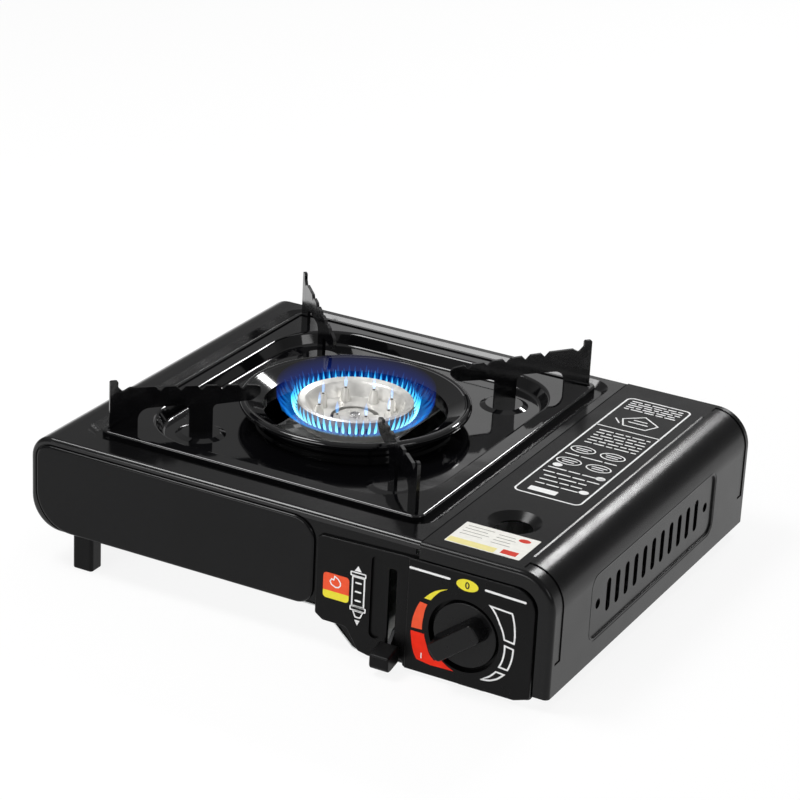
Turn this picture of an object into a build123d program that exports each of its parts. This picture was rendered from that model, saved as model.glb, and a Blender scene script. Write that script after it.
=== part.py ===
from build123d import *
import os
from math import cos, radians, sin

# Butane cassette stove. +X is to the right along the front, +Y runs to the back
# and +Z is up. The origin is on the table, under the middle of the whole stove.

# ---- Case, outside sizes ----
body_w = 340.0            # left side to right side
body_d = 275.0            # front face to rear face, controls left out
body_top = 80.0           # height of the top cover
under_z = 21.4            # underside of the burner half
bay_under_z = 2.6         # underside of the deeper cartridge half
lid_w = 82.2              # width of the cartridge lid
seam_gap = 0.6            # between the top cover and the lid
control_proud = 15.0      # how far the lever stands in front of the case
sheet = 0.8               # case sheet
top_left_r = 14.0
bottom_left_r = 20.0
edge_r = 3.0              # bend along the front and rear edges
rim_w = 4.5               # turned-in rim around the front and rear panels
rim_back = 1.2            # the rims lie this far behind the embossed panels
wrap_w = 44.0             # how far the wrapped sheet reaches under the case
screw_in = 28.0           # case screws, from the left side
screw_r = 1.5

# ---- Front and rear panels ----
panel_end = 65.2          # right end of the front field, left of the seam
rear_panel_end = 8.0      # the rear field ends this far before the step
panel_gap = 1.0           # groove round the embossed field
panel_edge_r = 1.7
panel_low_r = 24.0
panel_high_r = 14.0
panel_lap = 0.7            # front panel past the right end of the fascia
flange_in = 3.2           # panel flange, inside the case outline
bay_step_in = 37.2        # the floor has dropped this far left of the seam
bay_step_w = 20.0         # width of the slope that it drops over
bay_wall_in = 11.2        # outer face of the tray's right wall, from the right side
bay_wall_top = 16.0
rear_slot_count = 9
rear_slot_pitch = 16.0
rear_slot = (4.0, 22.0)

# ---- Pan well in the top cover ----
burner_in = 137.0         # burner axis, from the left side
burner_back = 142.5       # burner axis behind the front face
well_w = 230.0
well_d = 249.0
well_r = 15.0
well_slope = 4.0          # how far the wall leans in
ledge_drop = 3.6          # from the top cover to the ledge
hole_w = 198.0
hole_d = 219.0
hole_r = 32.0

# ---- Drip plate, ring and pan supports ----
plate_w = 213.0
plate_d = 232.6
plate_r = 6.0
plate_t = 1.0
flange_z = 80.3           # flat margin of the plate
flange_w = 12.0
bead_h = 0.8              # rolled edge above the margin
bead_w = 3.0
basin_r = 43.0            # corners of the basin
basin_lean = 28.0         # slope of its wall, in degrees from upright
basin_bend = 2.4
plate_floor_z = 72.5
boss_r = 15.0             # raised seats for the supports
boss_top_r = 11.5
boss_h = 1.5
boss_at = 96.0            # seats, from the burner axis
ring_outer_r = 70.0
ring_neck_r = 57.0
ring_top_z = 86.0
ring_t = 1.2
ring_foot = 4.0
support_t = 2.0
support_angle = 47.6      # the two diagonals of the plate
support_tip = 60.0        # inner end, from the burner axis
horn_at = 151.3           # outer end, from the burner axis
outer_leg_w = 16.8
inner_leg_w = 14.0
arm_low_z = 92.3          # underside between the two legs
horn_top_z = 111.0
shoulder_z = 106.0
tooth_count = 5
tooth_pitch = 12.5
first_tooth = 121.0       # outermost tooth, from the burner axis

# ---- Cartridge lid ----
lid_low_z = 7.5
lid_corner_r = 22.0
lid_flange = 9.2          # turned-in end flanges
lid_turn_down = 6.0
vent_y0 = 51.1            # floor of the vent field, from the front face
vent_len = 170.8
vent_z0 = 21.8
vent_h = 37.4
vent_r = 6.0
vent_slope = 2.4          # width of the field's sloping border
press_depth = 1.2
vent_count = 11
vent_pitch = 12.3
vent_slot = (5.6, 20.2)
vent_hole_reach = 75.4    # round holes, from the middle of the field
vent_hole_r = 3.0
finger_in = 51.5          # finger hole, from the right side
finger_back = 53.5
finger_r = 15.5
finger_hole_r = 10.5
finger_depth = 4.0
bead_len_y = 7.2          # pressed bead near each end of the lid
bead_in = 5.7
bead_low_z = 26.5
bead_depth = 0.6
crease_in = 22.7          # crease along the lid's top, from the right side
crease_w = 1.8
crease_depth = 0.35
crease_ends = (20.0, 24.0)
pivot_in = 4.5            # lid pivot, from the right side
pivot_z = 11.0
lid_pin_r = 1.5
lug_r = 3.3
lug_t = 1.6
lug_inset = 12.0

# ---- Control fascia, knob and shaft ----
fascia_proud = 1.0
fascia_t = 3.0
fascia_step = 0.8         # the lever side lies this far behind the knob side
knob_side_in = 5.0        # left edge of the knob side, left of the seam
fascia_edge_r = 0.7
fascia_start = 63.2       # left end, left of the seam
fascia_in = 10.7          # right end, from the right side
fascia_top = 70.0
fascia_top_left = 68.3
fascia_shelf_z = 16.4     # lower edge left of the bay
fascia_low = 2.4
fascia_r = 13.0
knob_in = 52.3            # knob axis, from the right side
knob_z = 32.3
knob_r = 19.5
knob_well_r = 21.6
knob_well_depth = 5.0
knob_skirt_t = 3.5
knob_sunk = 1.0           # knob skirt behind the fascia's face
grip_proud = 9.0          # top of the grip bar in front of the fascia
grip_w = 11.0
grip_foot_w = 15.0
grip_reach = 20.0
grip_tail = 15.5
on_angle = 218.0          # the grip points here at full flame
shaft_r = 3.0
running_gap = 0.05
lever_slot_in = 17.2      # left edge of the lever slot, left of the seam
lever_slot_w = 5.0
lever_slot_z0 = 9.0
lever_slot_z1 = 60.0
lever_notch_in = 21.2     # notch in the fascia's lower edge, left of the seam
lever_notch_w = 14.5
lever_notch_z = 6.0
finger_groove_in = 25.0   # middle of the finger groove, left of the seam
finger_groove_w = 6.8
finger_groove_z0 = 14.5
finger_groove_z1 = 65.0
finger_groove_depth = 1.5

# ---- Cartridge lock ----
lever_t = 2.0
lever_pivot_back = 75.0   # lever pivot behind the front face
lever_pivot_z = 36.0
lever_pin_r = 2.5
drive_arm = 17.6          # drive pin above the lever pivot
drive_pin_r = 2.0
lever_grip_w = 12.0
strip_t = 1.5
strip_z0 = 46.0
strip_z1 = 60.0
push_travel = 8.0
part_gap = 0.3            # between pieces that move past each other

# ---- Bay and gas train ----
bay_len = 189.5           # socket face to pusher
cartridge_r = 34.0
bulkhead_back = 64.0      # bulkhead's front face behind the front face
socket_len = 7.0
socket_r = 17.0
base_z = 58.0             # underside of the burner bridge
base_t = 1.2
base_left = 49.0          # bridge edges, from the burner axis
base_right = 21.0
cup_r = 34.5
cup_top_z = 75.5
head_r = 35.0
head_wall = 3.5
head_top_z = 86.0
head_crown_r = 30.6       # inner edge of the head's rim
head_floor_r = 25.5
head_floor_rise = 2.0     # from the hub to the foot of the rim
hub_r = 14.8
hub_z = 74.5
port_count = 40
post_count = 8
post_ring_r = 22.6
post_base_r = 3.4
post_tip_r = 1.9
post_drop = 2.2           # post tips, below the rim
port_z = 79.0
port_size = (1.3, 4.2)
tube_z = 46.0
tube_r = 9.0
tube_wall = 2.0
tube_len = 85.0           # mixing tube, from the burner axis
regulator_r = 15.0
bowl_r = 20.0
bowl_h = 12.0
regulator_back = 43.0     # bowl axis behind the front face
valve_top_z = 44.0
valve_half_w = 12.0
seal_r = 5.0
piezo_in = 27.0           # spark generator, from the right side
piezo_z = 22.0
jet_r = 4.0
pipe_r = 1.6
pipe_run_in = 8.2         # pipe behind the bay wall, left of the seam
pipe_cross_back = 47.0
pipe_low_z = 14.0
guide_r = 2.0

# ---- Feet ----
foot_size = (13.6, 11.0)
foot_in = 34.7            # foot, from the left side
foot_end_in = 8.0         # feet, from the case's front and rear
pad_size = (22.0, 12.0)

# ---- Worked out from the above ----
half_w = body_w / 2
seam_x = half_w - lid_w - seam_gap
wrap_end_x = wrap_w - half_w
screw_x = screw_in - half_w
foot_x = foot_in - half_w
burner_x = burner_in - half_w
panel_right = seam_x - panel_end
bay_step_x1 = seam_x - bay_step_in
bay_step_x0 = bay_step_x1 - bay_step_w
bay_wall_x = half_w - bay_wall_in
finger_x = half_w - finger_in
pivot_x = half_w - pivot_in
knob_x = half_w - knob_in
piezo_x = half_w - piezo_in
fascia_left = seam_x - fascia_start
fascia_right = half_w - fascia_in
lever_slot_x0 = seam_x - lever_slot_in
lever_notch_x0 = seam_x - lever_notch_in
finger_groove_x = seam_x - finger_groove_in
pipe_run_x = seam_x - pipe_run_in
base_x0 = burner_x - base_left
base_x1 = burner_x + base_right
tube_end_x = burner_x + tube_len
front_y = (control_proud - body_d) / 2
rear_y = front_y + body_d
case_front = front_y + rim_back
case_rear = rear_y - rim_back
burner_y = front_y + burner_back
ledge_z = body_top - ledge_drop
screw_rows = (burner_y - 75, burner_y, burner_y + 75)
foot_rows = (case_front + foot_end_in, case_rear - foot_end_in)
well_y0 = burner_y - hole_d / 2
well_y1 = burner_y + hole_d / 2
lid_left = seam_x + seam_gap
basin_reach_x = plate_w / 2 - flange_w + 1
basin_reach_y = plate_d / 2 - flange_w + 1
tray_z = under_z + sheet
bay_floor_z = bay_under_z + sheet
panel_y0 = case_front + sheet
panel_y1 = panel_y0 + sheet
rear_panel_y1 = case_rear - sheet
rear_panel_y0 = rear_panel_y1 - sheet
wall_x1 = seam_x - sheet
wall_x0 = wall_x1 - sheet
bay_inner_x = bay_wall_x - sheet
cartridge_x = (wall_x1 + bay_inner_x) / 2
cartridge_z = bay_floor_z + cartridge_r + part_gap
fascia_front = front_y - fascia_proud
fascia_back = fascia_front + fascia_t
lever_side_y = fascia_front + fascia_step
knob_side_x = seam_x - knob_side_in
bulkhead_y0 = front_y + bulkhead_back
bulkhead_y1 = bulkhead_y0 + 1.2
pusher_y0 = bulkhead_y1 + socket_len + bay_len
lever_pivot_y = front_y + lever_pivot_back
lever_x0 = lever_slot_x0 + lever_slot_w - lever_t - 0.4
guide_rows = (front_y + 130.0, front_y + 225.0)
guide_z = (strip_z0 + strip_z1) / 2
shaft_end = front_y + 34.0
cam_y0 = front_y + 11.0
regulator_y = front_y + regulator_back
pipe_cross_y = front_y + pipe_cross_back


# ---- Helpers ----
def block(x0, x1, y0, y1, z0, z1):
    """Block between two opposite corners."""
    return Pos((x0 + x1) / 2, (y0 + y1) / 2, (z0 + z1) / 2) * Box(x1 - x0, y1 - y0, z1 - z0)


def outline(corners, radii):
    """Face inside a closed outline whose corners are rounded one by one."""
    return make_face(FilletPolyline(*corners, radius=radii, close=True).edges())


def depthwise(face, y0, y1):
    """Solid of a face drawn in X and Z, running from y0 back to y1."""
    return extrude(Plane.XZ.offset(-y0) * face, -(y1 - y0))


def sideways(face, x0, x1):
    """Solid of a face drawn in Y and Z, running from x0 right to x1."""
    return extrude(Plane.YZ.offset(x0) * face, x1 - x0)


def upright(face, z0, z1):
    """Solid of a face drawn in X and Y, rising from z0 to z1."""
    return extrude(Plane.XY.offset(z0) * face, z1 - z0)


def rounded(width, depth, radius, x=0.0, y=0.0):
    """Rounded rectangle about a centre."""
    return Pos(x, y) * RectangleRounded(width, depth, radius)


def turned(points):
    """Solid turned about the burner axis from an outline of radius and height."""
    face = make_face(Polyline(*[(r, 0, z) for r, z in points], close=True))
    return Pos(burner_x, burner_y, 0) * revolve(face, Axis.Z)


def tube_path(points, radii, radius):
    """Round bar along straight runs joined by tangent arcs."""
    path = FilletPolyline(*points, radius=radii)
    start = Plane(origin=path @ 0, z_dir=path % 0)
    return sweep(start * Circle(radius), path=path)


# ---- Case ----
def case_block(inset, right):
    """The burner half of the case as a block, inset by a sheet thickness."""
    left = -half_w + inset
    low = under_z + inset
    high = body_top - inset
    corners = [(left, low), (right, low), (right, high), (left, high)]
    face = outline(corners, [bottom_left_r - inset, 0, 0, top_left_r - inset])
    solid = depthwise(face, case_front + inset, case_rear - inset)
    ends = [solid.faces().sort_by(Axis.Y)[0], solid.faces().sort_by(Axis.Y)[-1]]
    bends = [e for f in ends for e in f.edges() if e.center().X < right - 0.01]
    return fillet(bends, edge_r - inset)


def panel_outline(inset, right, low_r):
    """Embossed field of the front or rear panel."""
    left = -half_w + rim_w + inset
    low = under_z + panel_gap + inset
    high = body_top - rim_w - inset
    corners = [(left, low), (right - inset, low), (right - inset, high), (left, high)]
    radii = [panel_low_r - inset, low_r - inset, panel_high_r - inset, top_left_r - rim_w - inset]
    return outline(corners, radii)


def well_block(grow, low, high):
    """The pan well as a block with leaning walls."""
    top = Plane.XY.offset(high) * rounded(
        well_w + 2 * grow, well_d + 2 * grow, well_r + grow, burner_x, burner_y)
    lean = 2 * well_slope
    floor = Plane.XY.offset(low) * rounded(
        well_w + 2 * grow - lean, well_d + 2 * grow - lean, well_r + grow - well_slope,
        burner_x, burner_y)
    return loft([floor, top], ruled=True)


def make_top_shell():
    """Top cover that wraps round the left side, with the pressed pan well."""
    shell = case_block(0, seam_x) - case_block(sheet, seam_x + edge_r)
    shell -= block(wrap_end_x, seam_x + 1, front_y, rear_y, under_z - 1, under_z + edge_r)
    rim_low = panel_outline(-panel_gap, panel_right, 12.0)
    opening = depthwise(rim_low, front_y, panel_y1 + part_gap)
    opening += block(0, seam_x + 1, front_y, panel_y1 + part_gap, 0, body_top - rim_w)
    shell -= opening
    rear_rim = panel_outline(-panel_gap, wall_x0, 12.0)
    rear = depthwise(rear_rim, rear_panel_y0 - part_gap, rear_y)
    rear += block(0, seam_x + 1, rear_panel_y0 - part_gap, rear_y, 0, body_top - rim_w)
    shell -= rear
    shell += block(wall_x1, seam_x, case_front + edge_r, case_rear - edge_r,
                   body_top - 8, body_top - sheet / 2)
    shell += well_block(sheet, ledge_z - sheet, body_top)
    shell -= well_block(0, ledge_z, body_top)
    shell -= upright(rounded(hole_w, hole_d, hole_r, burner_x, burner_y), under_z, ledge_z + 1)
    for y in screw_rows:
        shell -= upright(Pos(screw_x, y) * Circle(screw_r + 0.1), under_z - 1, tray_z + 1)
    return shell


def floor_outline(low, z_top, right, right_r):
    """Outline of a panel that steps down from the burner half to the bay."""
    left = -half_w + flange_in
    corners = [
        (left, under_z + flange_in), (bay_step_x0, under_z + flange_in), (bay_step_x1, low),
        (right, low), (right, z_top), (wall_x0 - 1, z_top), (wall_x0 - 1, body_top - flange_in),
        (left, body_top - flange_in)]
    radii = [bottom_left_r - flange_in, 3, 3, 4, right_r, 0, 0, top_left_r - flange_in]
    return outline(corners, radii)


def make_front_panel():
    """Front sheet: an embossed field on the left, and the wall behind the fascia."""
    flange = floor_outline(bay_floor_z, fascia_top + 2, fascia_right + panel_lap, fascia_r)
    panel = depthwise(flange, panel_y0, panel_y1)
    boss = depthwise(panel_outline(0, panel_right, 11.0), front_y, panel_y1)
    panel += fillet(boss.faces().sort_by(Axis.Y)[0].edges(), panel_edge_r)
    hollow = depthwise(panel_outline(sheet, panel_right, 11.0), front_y + sheet, panel_y1)
    panel -= fillet(hollow.faces().sort_by(Axis.Y)[0].edges(), panel_edge_r - sheet)
    panel -= depthwise(Pos(knob_x, knob_z) * Circle(knob_well_r + 2.2), front_y, panel_y1 + 1)
    window = Pos(lever_slot_x0 + lever_slot_w / 2, (lever_slot_z0 + lever_slot_z1) / 2)
    window *= RectangleRounded(lever_slot_w + 4, lever_slot_z1 - lever_slot_z0 + 4, 2)
    return panel - depthwise(window, front_y, panel_y1 + 1)


def make_rear_panel():
    """Rear sheet with its embossed field and a row of vent slots."""
    flange = floor_outline(bay_floor_z, fascia_top + 2, bay_inner_x - 0.2, fascia_r)
    panel = depthwise(flange, rear_panel_y0, rear_panel_y1)
    field_right = bay_step_x0 - rear_panel_end
    boss = depthwise(panel_outline(0, field_right, 11.0), rear_panel_y0, rear_y)
    panel += fillet(boss.faces().sort_by(Axis.Y)[-1].edges(), panel_edge_r)
    hollow = depthwise(panel_outline(sheet, field_right, 11.0), rear_panel_y0, rear_y - sheet)
    panel -= fillet(hollow.faces().sort_by(Axis.Y)[-1].edges(), panel_edge_r - sheet)
    first = burner_x - rear_slot_pitch * (rear_slot_count - 1) / 2
    for i in range(rear_slot_count):
        place = Pos(first + i * rear_slot_pitch, (under_z + body_top) / 2)
        slot = place * RectangleRounded(rear_slot[0], rear_slot[1], rear_slot[0] / 2 - 0.05)
        panel -= depthwise(slot, rear_panel_y0 - 1, rear_y + 1)
    return panel


def make_bottom_tray():
    """Floor sheet, flat under the burner and stepped down under the cartridge."""
    left = -half_w + bottom_left_r + 1
    high = body_top / 2
    corners = [
        (left, tray_z), (bay_step_x0 - 3, tray_z), (bay_step_x1 - 2, bay_under_z),
        (bay_wall_x, bay_under_z), (bay_wall_x, high), (left, high)]
    face = outline(corners, [0, 4, 4, 4, 0, 0])
    solid = depthwise(face, panel_y1, rear_panel_y0)
    inner_corners = [
        (left - 1, tray_z + sheet), (bay_step_x0 - 2.7, tray_z + sheet),
        (bay_step_x1 - 1.7, bay_floor_z), (bay_inner_x, bay_floor_z),
        (bay_inner_x, high + 1), (left - 1, high + 1)]
    inner = depthwise(outline(inner_corners, [0, 4, 4, 3.2, 0, 0]), panel_y1 - 1, rear_panel_y0 + 1)
    tray = solid - inner
    tray -= block(bay_step_x1, bay_wall_x + 1, front_y, rear_y, bay_wall_top, high + 1)
    for y0 in (front_y, case_rear - edge_r):
        tray -= block(-half_w, wrap_end_x + 1, y0, y0 + rim_back + edge_r, under_z, high)
    for y in screw_rows:
        tray -= upright(Pos(screw_x, y) * Circle(screw_r + 0.1), under_z, tray_z + 2)
    return tray


def make_bay_wall():
    """Upright sheet between the burner half and the cartridge bay."""
    wall = block(wall_x0, wall_x1, case_front + edge_r, case_rear - edge_r, bay_floor_z,
                 body_top - sheet)
    notch_y = pusher_y0 - 1.5
    wall -= block(wall_x0 - 1, wall_x1 + 1, notch_y, rear_y, strip_z0 - 1, strip_z1 + 1)
    wall -= sideways(Pos(pipe_cross_y, pipe_low_z) * Circle(4.0), wall_x0 - 1, wall_x1 + 1)
    return wall


def make_case_screws():
    """Pan-head screws that hold the floor sheet to the wrapped cover."""
    screws = []
    for y in screw_rows:
        shank = upright(Pos(screw_x, y) * Circle(screw_r), under_z, tray_z + 4)
        head = upright(Pos(screw_x, y) * Circle(2 * screw_r), under_z - 1.6, under_z)
        screws.append(shank + head)
    return Compound(children=screws)


def make_left_foot(y):
    """Moulded foot under the burner half."""
    foot = upright(rounded(foot_size[0], foot_size[1], 2.0, foot_x, y), 0, under_z)
    return fillet(foot.faces().sort_by(Axis.Z)[0].edges(), 1.0)


def make_bay_pads():
    """Low rubber pads under the cartridge half."""
    pads = []
    for y in foot_rows:
        pad = upright(rounded(pad_size[0], pad_size[1], 4, cartridge_x, y), 0, bay_under_z)
        pads.append(pad)
    return Compound(children=pads)


# ---- Lid ----
def lid_block(inset):
    """The cartridge lid as a block, inset by a sheet thickness."""
    left = lid_left - (20 if inset else 0)
    low = lid_low_z - (20 if inset else 0)
    right = half_w - inset
    high = body_top - inset
    corners = [(left, low), (right, low), (right, high), (left, high)]
    face = outline(corners, [0, 0, lid_corner_r - inset, 0])
    solid = depthwise(face, front_y + inset, rear_y - inset)
    ends = [solid.faces().sort_by(Axis.Y)[0], solid.faces().sort_by(Axis.Y)[-1]]
    bends = [e for f in ends for e in f.edges()
             if e.center().X > left + 0.01 and e.center().Z > low + 0.01]
    return fillet(bends, edge_r - inset)


def make_lid_cover():
    """L-shaped lid: top, round corner, right side, end flanges and pressings."""
    lid = lid_block(0) - lid_block(sheet)
    mouth_corners = [
        (lid_left - 5, lid_low_z - 5), (half_w - lid_flange, lid_low_z - 5),
        (half_w - lid_flange, body_top - lid_flange), (lid_left - 5, body_top - lid_flange)]
    mouth = outline(mouth_corners, [0, 0, lid_corner_r - lid_flange, 0])
    lid -= depthwise(mouth, front_y - 1, rear_y + 1)
    lid += block(lid_left, lid_left + sheet, front_y + edge_r, rear_y - edge_r,
                 body_top - lid_turn_down, body_top - sheet / 2)
    lid = press_beads(lid)
    lid = press_vents(lid)
    lid = press_crease(lid)
    return press_finger_hole(lid)


def press_beads(lid):
    """Shallow beads round the corner near the two ends."""
    outer = lid_block(0)
    groove_skin = outer - lid_block(bead_depth)
    back_skin = lid_block(sheet) - lid_block(sheet + bead_depth)
    for y0 in (front_y + bead_in, rear_y - bead_in - bead_len_y):
        y1 = y0 + bead_len_y
        x0 = half_w - lid_corner_r
        lid += back_skin & block(x0 - sheet, half_w, y0 - sheet, y1 + sheet,
                                 bead_low_z - sheet, body_top)
        lid -= groove_skin & block(x0, half_w + 1, y0, y1, bead_low_z, body_top + 1)
    return lid


def vent_field(floor_x, rise):
    """The sunk field as a block that widens outwards from its floor."""
    middle = Pos(front_y + vent_y0 + vent_len / 2, vent_z0 + vent_h / 2)
    grow = rise * vent_slope / press_depth
    brim = RectangleRounded(vent_len + 2 * grow, vent_h + 2 * grow, vent_r + grow)
    floor = Plane.YZ.offset(floor_x) * middle * RectangleRounded(vent_len, vent_h, vent_r)
    return loft([floor.face(), (Plane.YZ.offset(floor_x + rise) * middle * brim).face()], ruled=True)


def press_crease(lid):
    """Shallow crease along the top, beside the round corner."""
    x = half_w - crease_in
    section = make_face(Polyline(
        (x - crease_w / 2, body_top), (x, body_top - crease_depth), (x + crease_w / 2, body_top),
        (x, body_top + 1), close=True))
    return lid - depthwise(section, front_y + crease_ends[0], rear_y - crease_ends[1])


def press_vents(lid):
    """Sunk field on the side with upright slots and two round holes."""
    mid_y = front_y + vent_y0 + vent_len / 2
    mid_z = vent_z0 + vent_h / 2
    floor_x = half_w - press_depth
    lid += vent_field(floor_x - sheet, press_depth + 0.1)
    lid -= vent_field(floor_x, press_depth + 0.3)
    first = mid_y - vent_pitch * (vent_count - 1) / 2
    for i in range(vent_count):
        slot = Pos(first + i * vent_pitch, mid_z) * RectangleRounded(
            vent_slot[0], vent_slot[1], vent_slot[0] / 2 - 0.05)
        lid -= sideways(slot, floor_x - 2, half_w + 1)
    for y in (mid_y - vent_hole_reach, mid_y + vent_hole_reach):
        lid -= sideways(Pos(y, mid_z) * Circle(vent_hole_r), floor_x - 2, half_w + 1)
    return lid


def press_finger_hole(lid):
    """Round dimple with an open floor that a finger lifts the lid by."""
    place = Pos(finger_x, front_y + finger_back, body_top - finger_depth / 2)
    lid += place * Pos(0, 0, -sheet / 2 - 0.2) * Cone(
        finger_hole_r + sheet, finger_r + sheet, finger_depth + sheet - 0.4)
    lid -= place * Cone(finger_hole_r, finger_r, finger_depth)
    hole = Pos(finger_x, front_y + finger_back) * Circle(finger_hole_r)
    return lid - upright(hole, body_top - 2 * finger_depth, body_top)


def hinge_ear(y0, wall_face, hole):
    """Ear round the lid's pivot, with an arm to the wall that carries it."""
    end = Pos(pivot_x, pivot_z) * Circle(lug_r)
    arm_low = pivot_z - lug_r
    x0 = min(wall_face, pivot_x)
    x1 = max(wall_face, pivot_x)
    arm = Pos((x0 + x1) / 2, arm_low + lug_r) * Rectangle(x1 - x0, 2 * lug_r)
    ear = depthwise(end + arm, y0, y0 + lug_t)
    return ear - depthwise(Pos(pivot_x, pivot_z) * Circle(hole), y0 - 1, y0 + lug_t + 1)


def hinge_rows():
    """Front and rear places of the lid's lugs."""
    return (front_y + lug_inset, rear_y - lug_inset - lug_t)


def make_lid_lugs():
    """Two lugs inside the lid's side that turn on the hinge pins."""
    hole = lid_pin_r + running_gap
    return Compound(children=[hinge_ear(y, half_w - sheet, hole) for y in hinge_rows()])


def make_hinge_brackets():
    """Ears on the tray's right wall, each with its fixed hinge pin."""
    pieces = []
    for y, toward in zip(hinge_rows(), (1, -1)):
        ear_y = y + toward * (lug_t + part_gap)
        ear = hinge_ear(ear_y, bay_wall_x, lid_pin_r)
        low = min(y, ear_y) - 1
        pin = depthwise(Pos(pivot_x, pivot_z) * Circle(lid_pin_r), low, low + 2 * lug_t + 2.3)
        pieces.append(ear + pin)
    return Compound(children=pieces)


# ---- Fascia and knob ----
def make_fascia():
    """Moulded control fascia with the knob well, lever slot and finger groove."""
    shelf = fascia_shelf_z
    low = fascia_low
    notch = lever_notch_x0
    corners = [
        (fascia_left, shelf + 3.4), (fascia_left + 5, shelf), (bay_step_x1 - 6, shelf),
        (bay_step_x1 + 2.2, low + 1.3), (bay_step_x1 + 8.7, low), (notch, low),
        (notch, lever_notch_z), (notch + lever_notch_w, lever_notch_z),
        (notch + lever_notch_w, low), (fascia_right - 9.3, low), (fascia_right, low + 3.1),
        (fascia_right, fascia_top), (seam_x - 7.2, fascia_top), (fascia_left, fascia_top_left)]
    radii = [2, 3, 4, 2, 2, 1.4, 1.4, 1.4, 1.4, 4, 2, fascia_r, 0, 3]
    face = outline(corners, radii)
    body = depthwise(face, lever_side_y, fascia_back)
    body = fillet(body.faces().sort_by(Axis.Y)[0].edges(), fascia_edge_r)
    field = Pos((knob_side_x + half_w) / 2, body_top / 2) * Rectangle(half_w - knob_side_x, body_top)
    knob_side = depthwise(face & field, fascia_front, fascia_back)
    body += fillet(knob_side.faces().sort_by(Axis.Y)[0].edges(), fascia_edge_r)
    well = Pos(knob_x, knob_z)
    cup_back = fascia_front + knob_well_depth + 2
    body += depthwise(well * Circle(knob_well_r + 1.7), fascia_back - 1, cup_back)
    body -= depthwise(well * Circle(knob_well_r), fascia_front - 1, fascia_front + knob_well_depth)
    body -= depthwise(well * Circle(shaft_r + 1), front_y, cup_back + 1)
    slot_mid = Pos(lever_slot_x0 + lever_slot_w / 2, (lever_slot_z0 + lever_slot_z1) / 2)
    slot = slot_mid * RectangleRounded(lever_slot_w, lever_slot_z1 - lever_slot_z0, 1.5)
    body -= depthwise(slot, fascia_front - 1, fascia_back + 1)
    groove = Pos(finger_groove_x, (finger_groove_z0 + finger_groove_z1) / 2)
    groove *= RectangleRounded(
        finger_groove_w, finger_groove_z1 - finger_groove_z0, finger_groove_w / 2 - 0.1)
    return body - depthwise(groove, fascia_front - 1, lever_side_y + finger_groove_depth)


def make_knob():
    """Control knob: round skirt and a tapered grip bar that points to ON."""
    back = fascia_front + knob_sunk + knob_skirt_t
    skirt = depthwise(Circle(knob_r), fascia_front + knob_sunk, back)
    skirt = fillet(skirt.faces().sort_by(Axis.Y)[0].edges(), 1.0)
    mid = (grip_reach - grip_tail) / 2
    length = grip_reach + grip_tail
    foot = Plane.XZ.offset(-(fascia_front + knob_sunk + 1)) * (
        Pos(mid, 0) * RectangleRounded(length, grip_foot_w, 5.0))
    crest = Plane.XZ.offset(-(fascia_front - grip_proud)) * (
        Pos(mid, 0) * RectangleRounded(length - 3, grip_w, 3.0))
    grip = loft([foot, crest], ruled=True)
    grip = fillet(grip.faces().sort_by(Axis.Y)[0].edges(), 0.8)
    knob = skirt + grip
    knob += depthwise(Circle(shaft_r + 2.5), back - 1, fascia_front + knob_well_depth - part_gap)
    knob = Rot(0, -on_angle, 0) * knob
    knob = Pos(knob_x, 0, knob_z) * knob
    return knob - depthwise(shaft_face(), back - 2, 0)


def shaft_face():
    """D-shaped section of the knob shaft."""
    face = Circle(shaft_r) - Pos(0, 1.8 * shaft_r) * Rectangle(4 * shaft_r, 2 * shaft_r)
    return Pos(knob_x, knob_z) * face


def make_knob_shaft():
    """Shaft from the knob to the gas valve, flattened inside the knob."""
    back = fascia_front + knob_sunk + knob_skirt_t
    flat = depthwise(shaft_face(), back - 2, fascia_back + 6)
    return flat + depthwise(Pos(knob_x, knob_z) * Circle(shaft_r), fascia_back + 6, shaft_end)


def make_igniter_cam():
    """Cam on the shaft that trips the spark igniter near ON."""
    disc = Pos(knob_x, knob_z) * Circle(9.0)
    lobe = Pos(knob_x, knob_z) * Rot(0, 0, -30) * Pos(7.5, 0) * Circle(4.5)
    cam = depthwise(disc + lobe, cam_y0, cam_y0 + 5)
    return cam - depthwise(Pos(knob_x, knob_z) * Circle(shaft_r), cam_y0 - 1, cam_y0 + 6)


# ---- Cartridge lock ----
def make_lever_arm():
    """Pressed steel arm with its pivot hole and the upright leg of the drive pin."""
    y = lever_pivot_y
    z = lever_pivot_z
    slot_y = front_y
    corners = [
        (slot_y - 12, 8.0), (slot_y - 5, 8.0), (slot_y + 3, 15.0), (y, z - 6), (y + 6, z - 5),
        (y + 5, z + drive_arm + 5), (y - 5, z + drive_arm + 5), (y - 6, z + 5.5),
        (slot_y + 1.5, 22.0), (slot_y - 4.5, 14.0), (slot_y - 12, 11.0)]
    arm = sideways(outline(corners, [1, 2, 2, 4, 4, 4, 4, 4, 2, 2, 1]), lever_x0, lever_x0 + lever_t)
    hole = Pos(y, z) * Circle(lever_pin_r + running_gap)
    arm -= sideways(hole, lever_x0 - 1, lever_x0 + lever_t + 1)
    pin = Pos(y, z + drive_arm) * Circle(drive_pin_r)
    return arm - sideways(pin, lever_x0 - 1, lever_x0 + lever_t + 1)


def make_lever_grip():
    """Moulded thumb grip on the end of the lever."""
    mid_x = lever_x0 + lever_t / 2
    back = fascia_front - 1.2
    tip = front_y - control_proud
    corners = [(back, 5.5), (back, 16.5), (tip, 12.5), (tip, 3.6), (tip + 4, 3.6)]
    grip = sideways(outline(corners, [1.5, 1.5, 1.5, 3, 3]),
                    mid_x - lever_grip_w / 2, mid_x + lever_grip_w / 2)
    sides = [grip.faces().sort_by(Axis.X)[0], grip.faces().sort_by(Axis.X)[-1]]
    grip = fillet([e for f in sides for e in f.edges()], 1.0)
    return grip - make_lever_arm()


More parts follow.
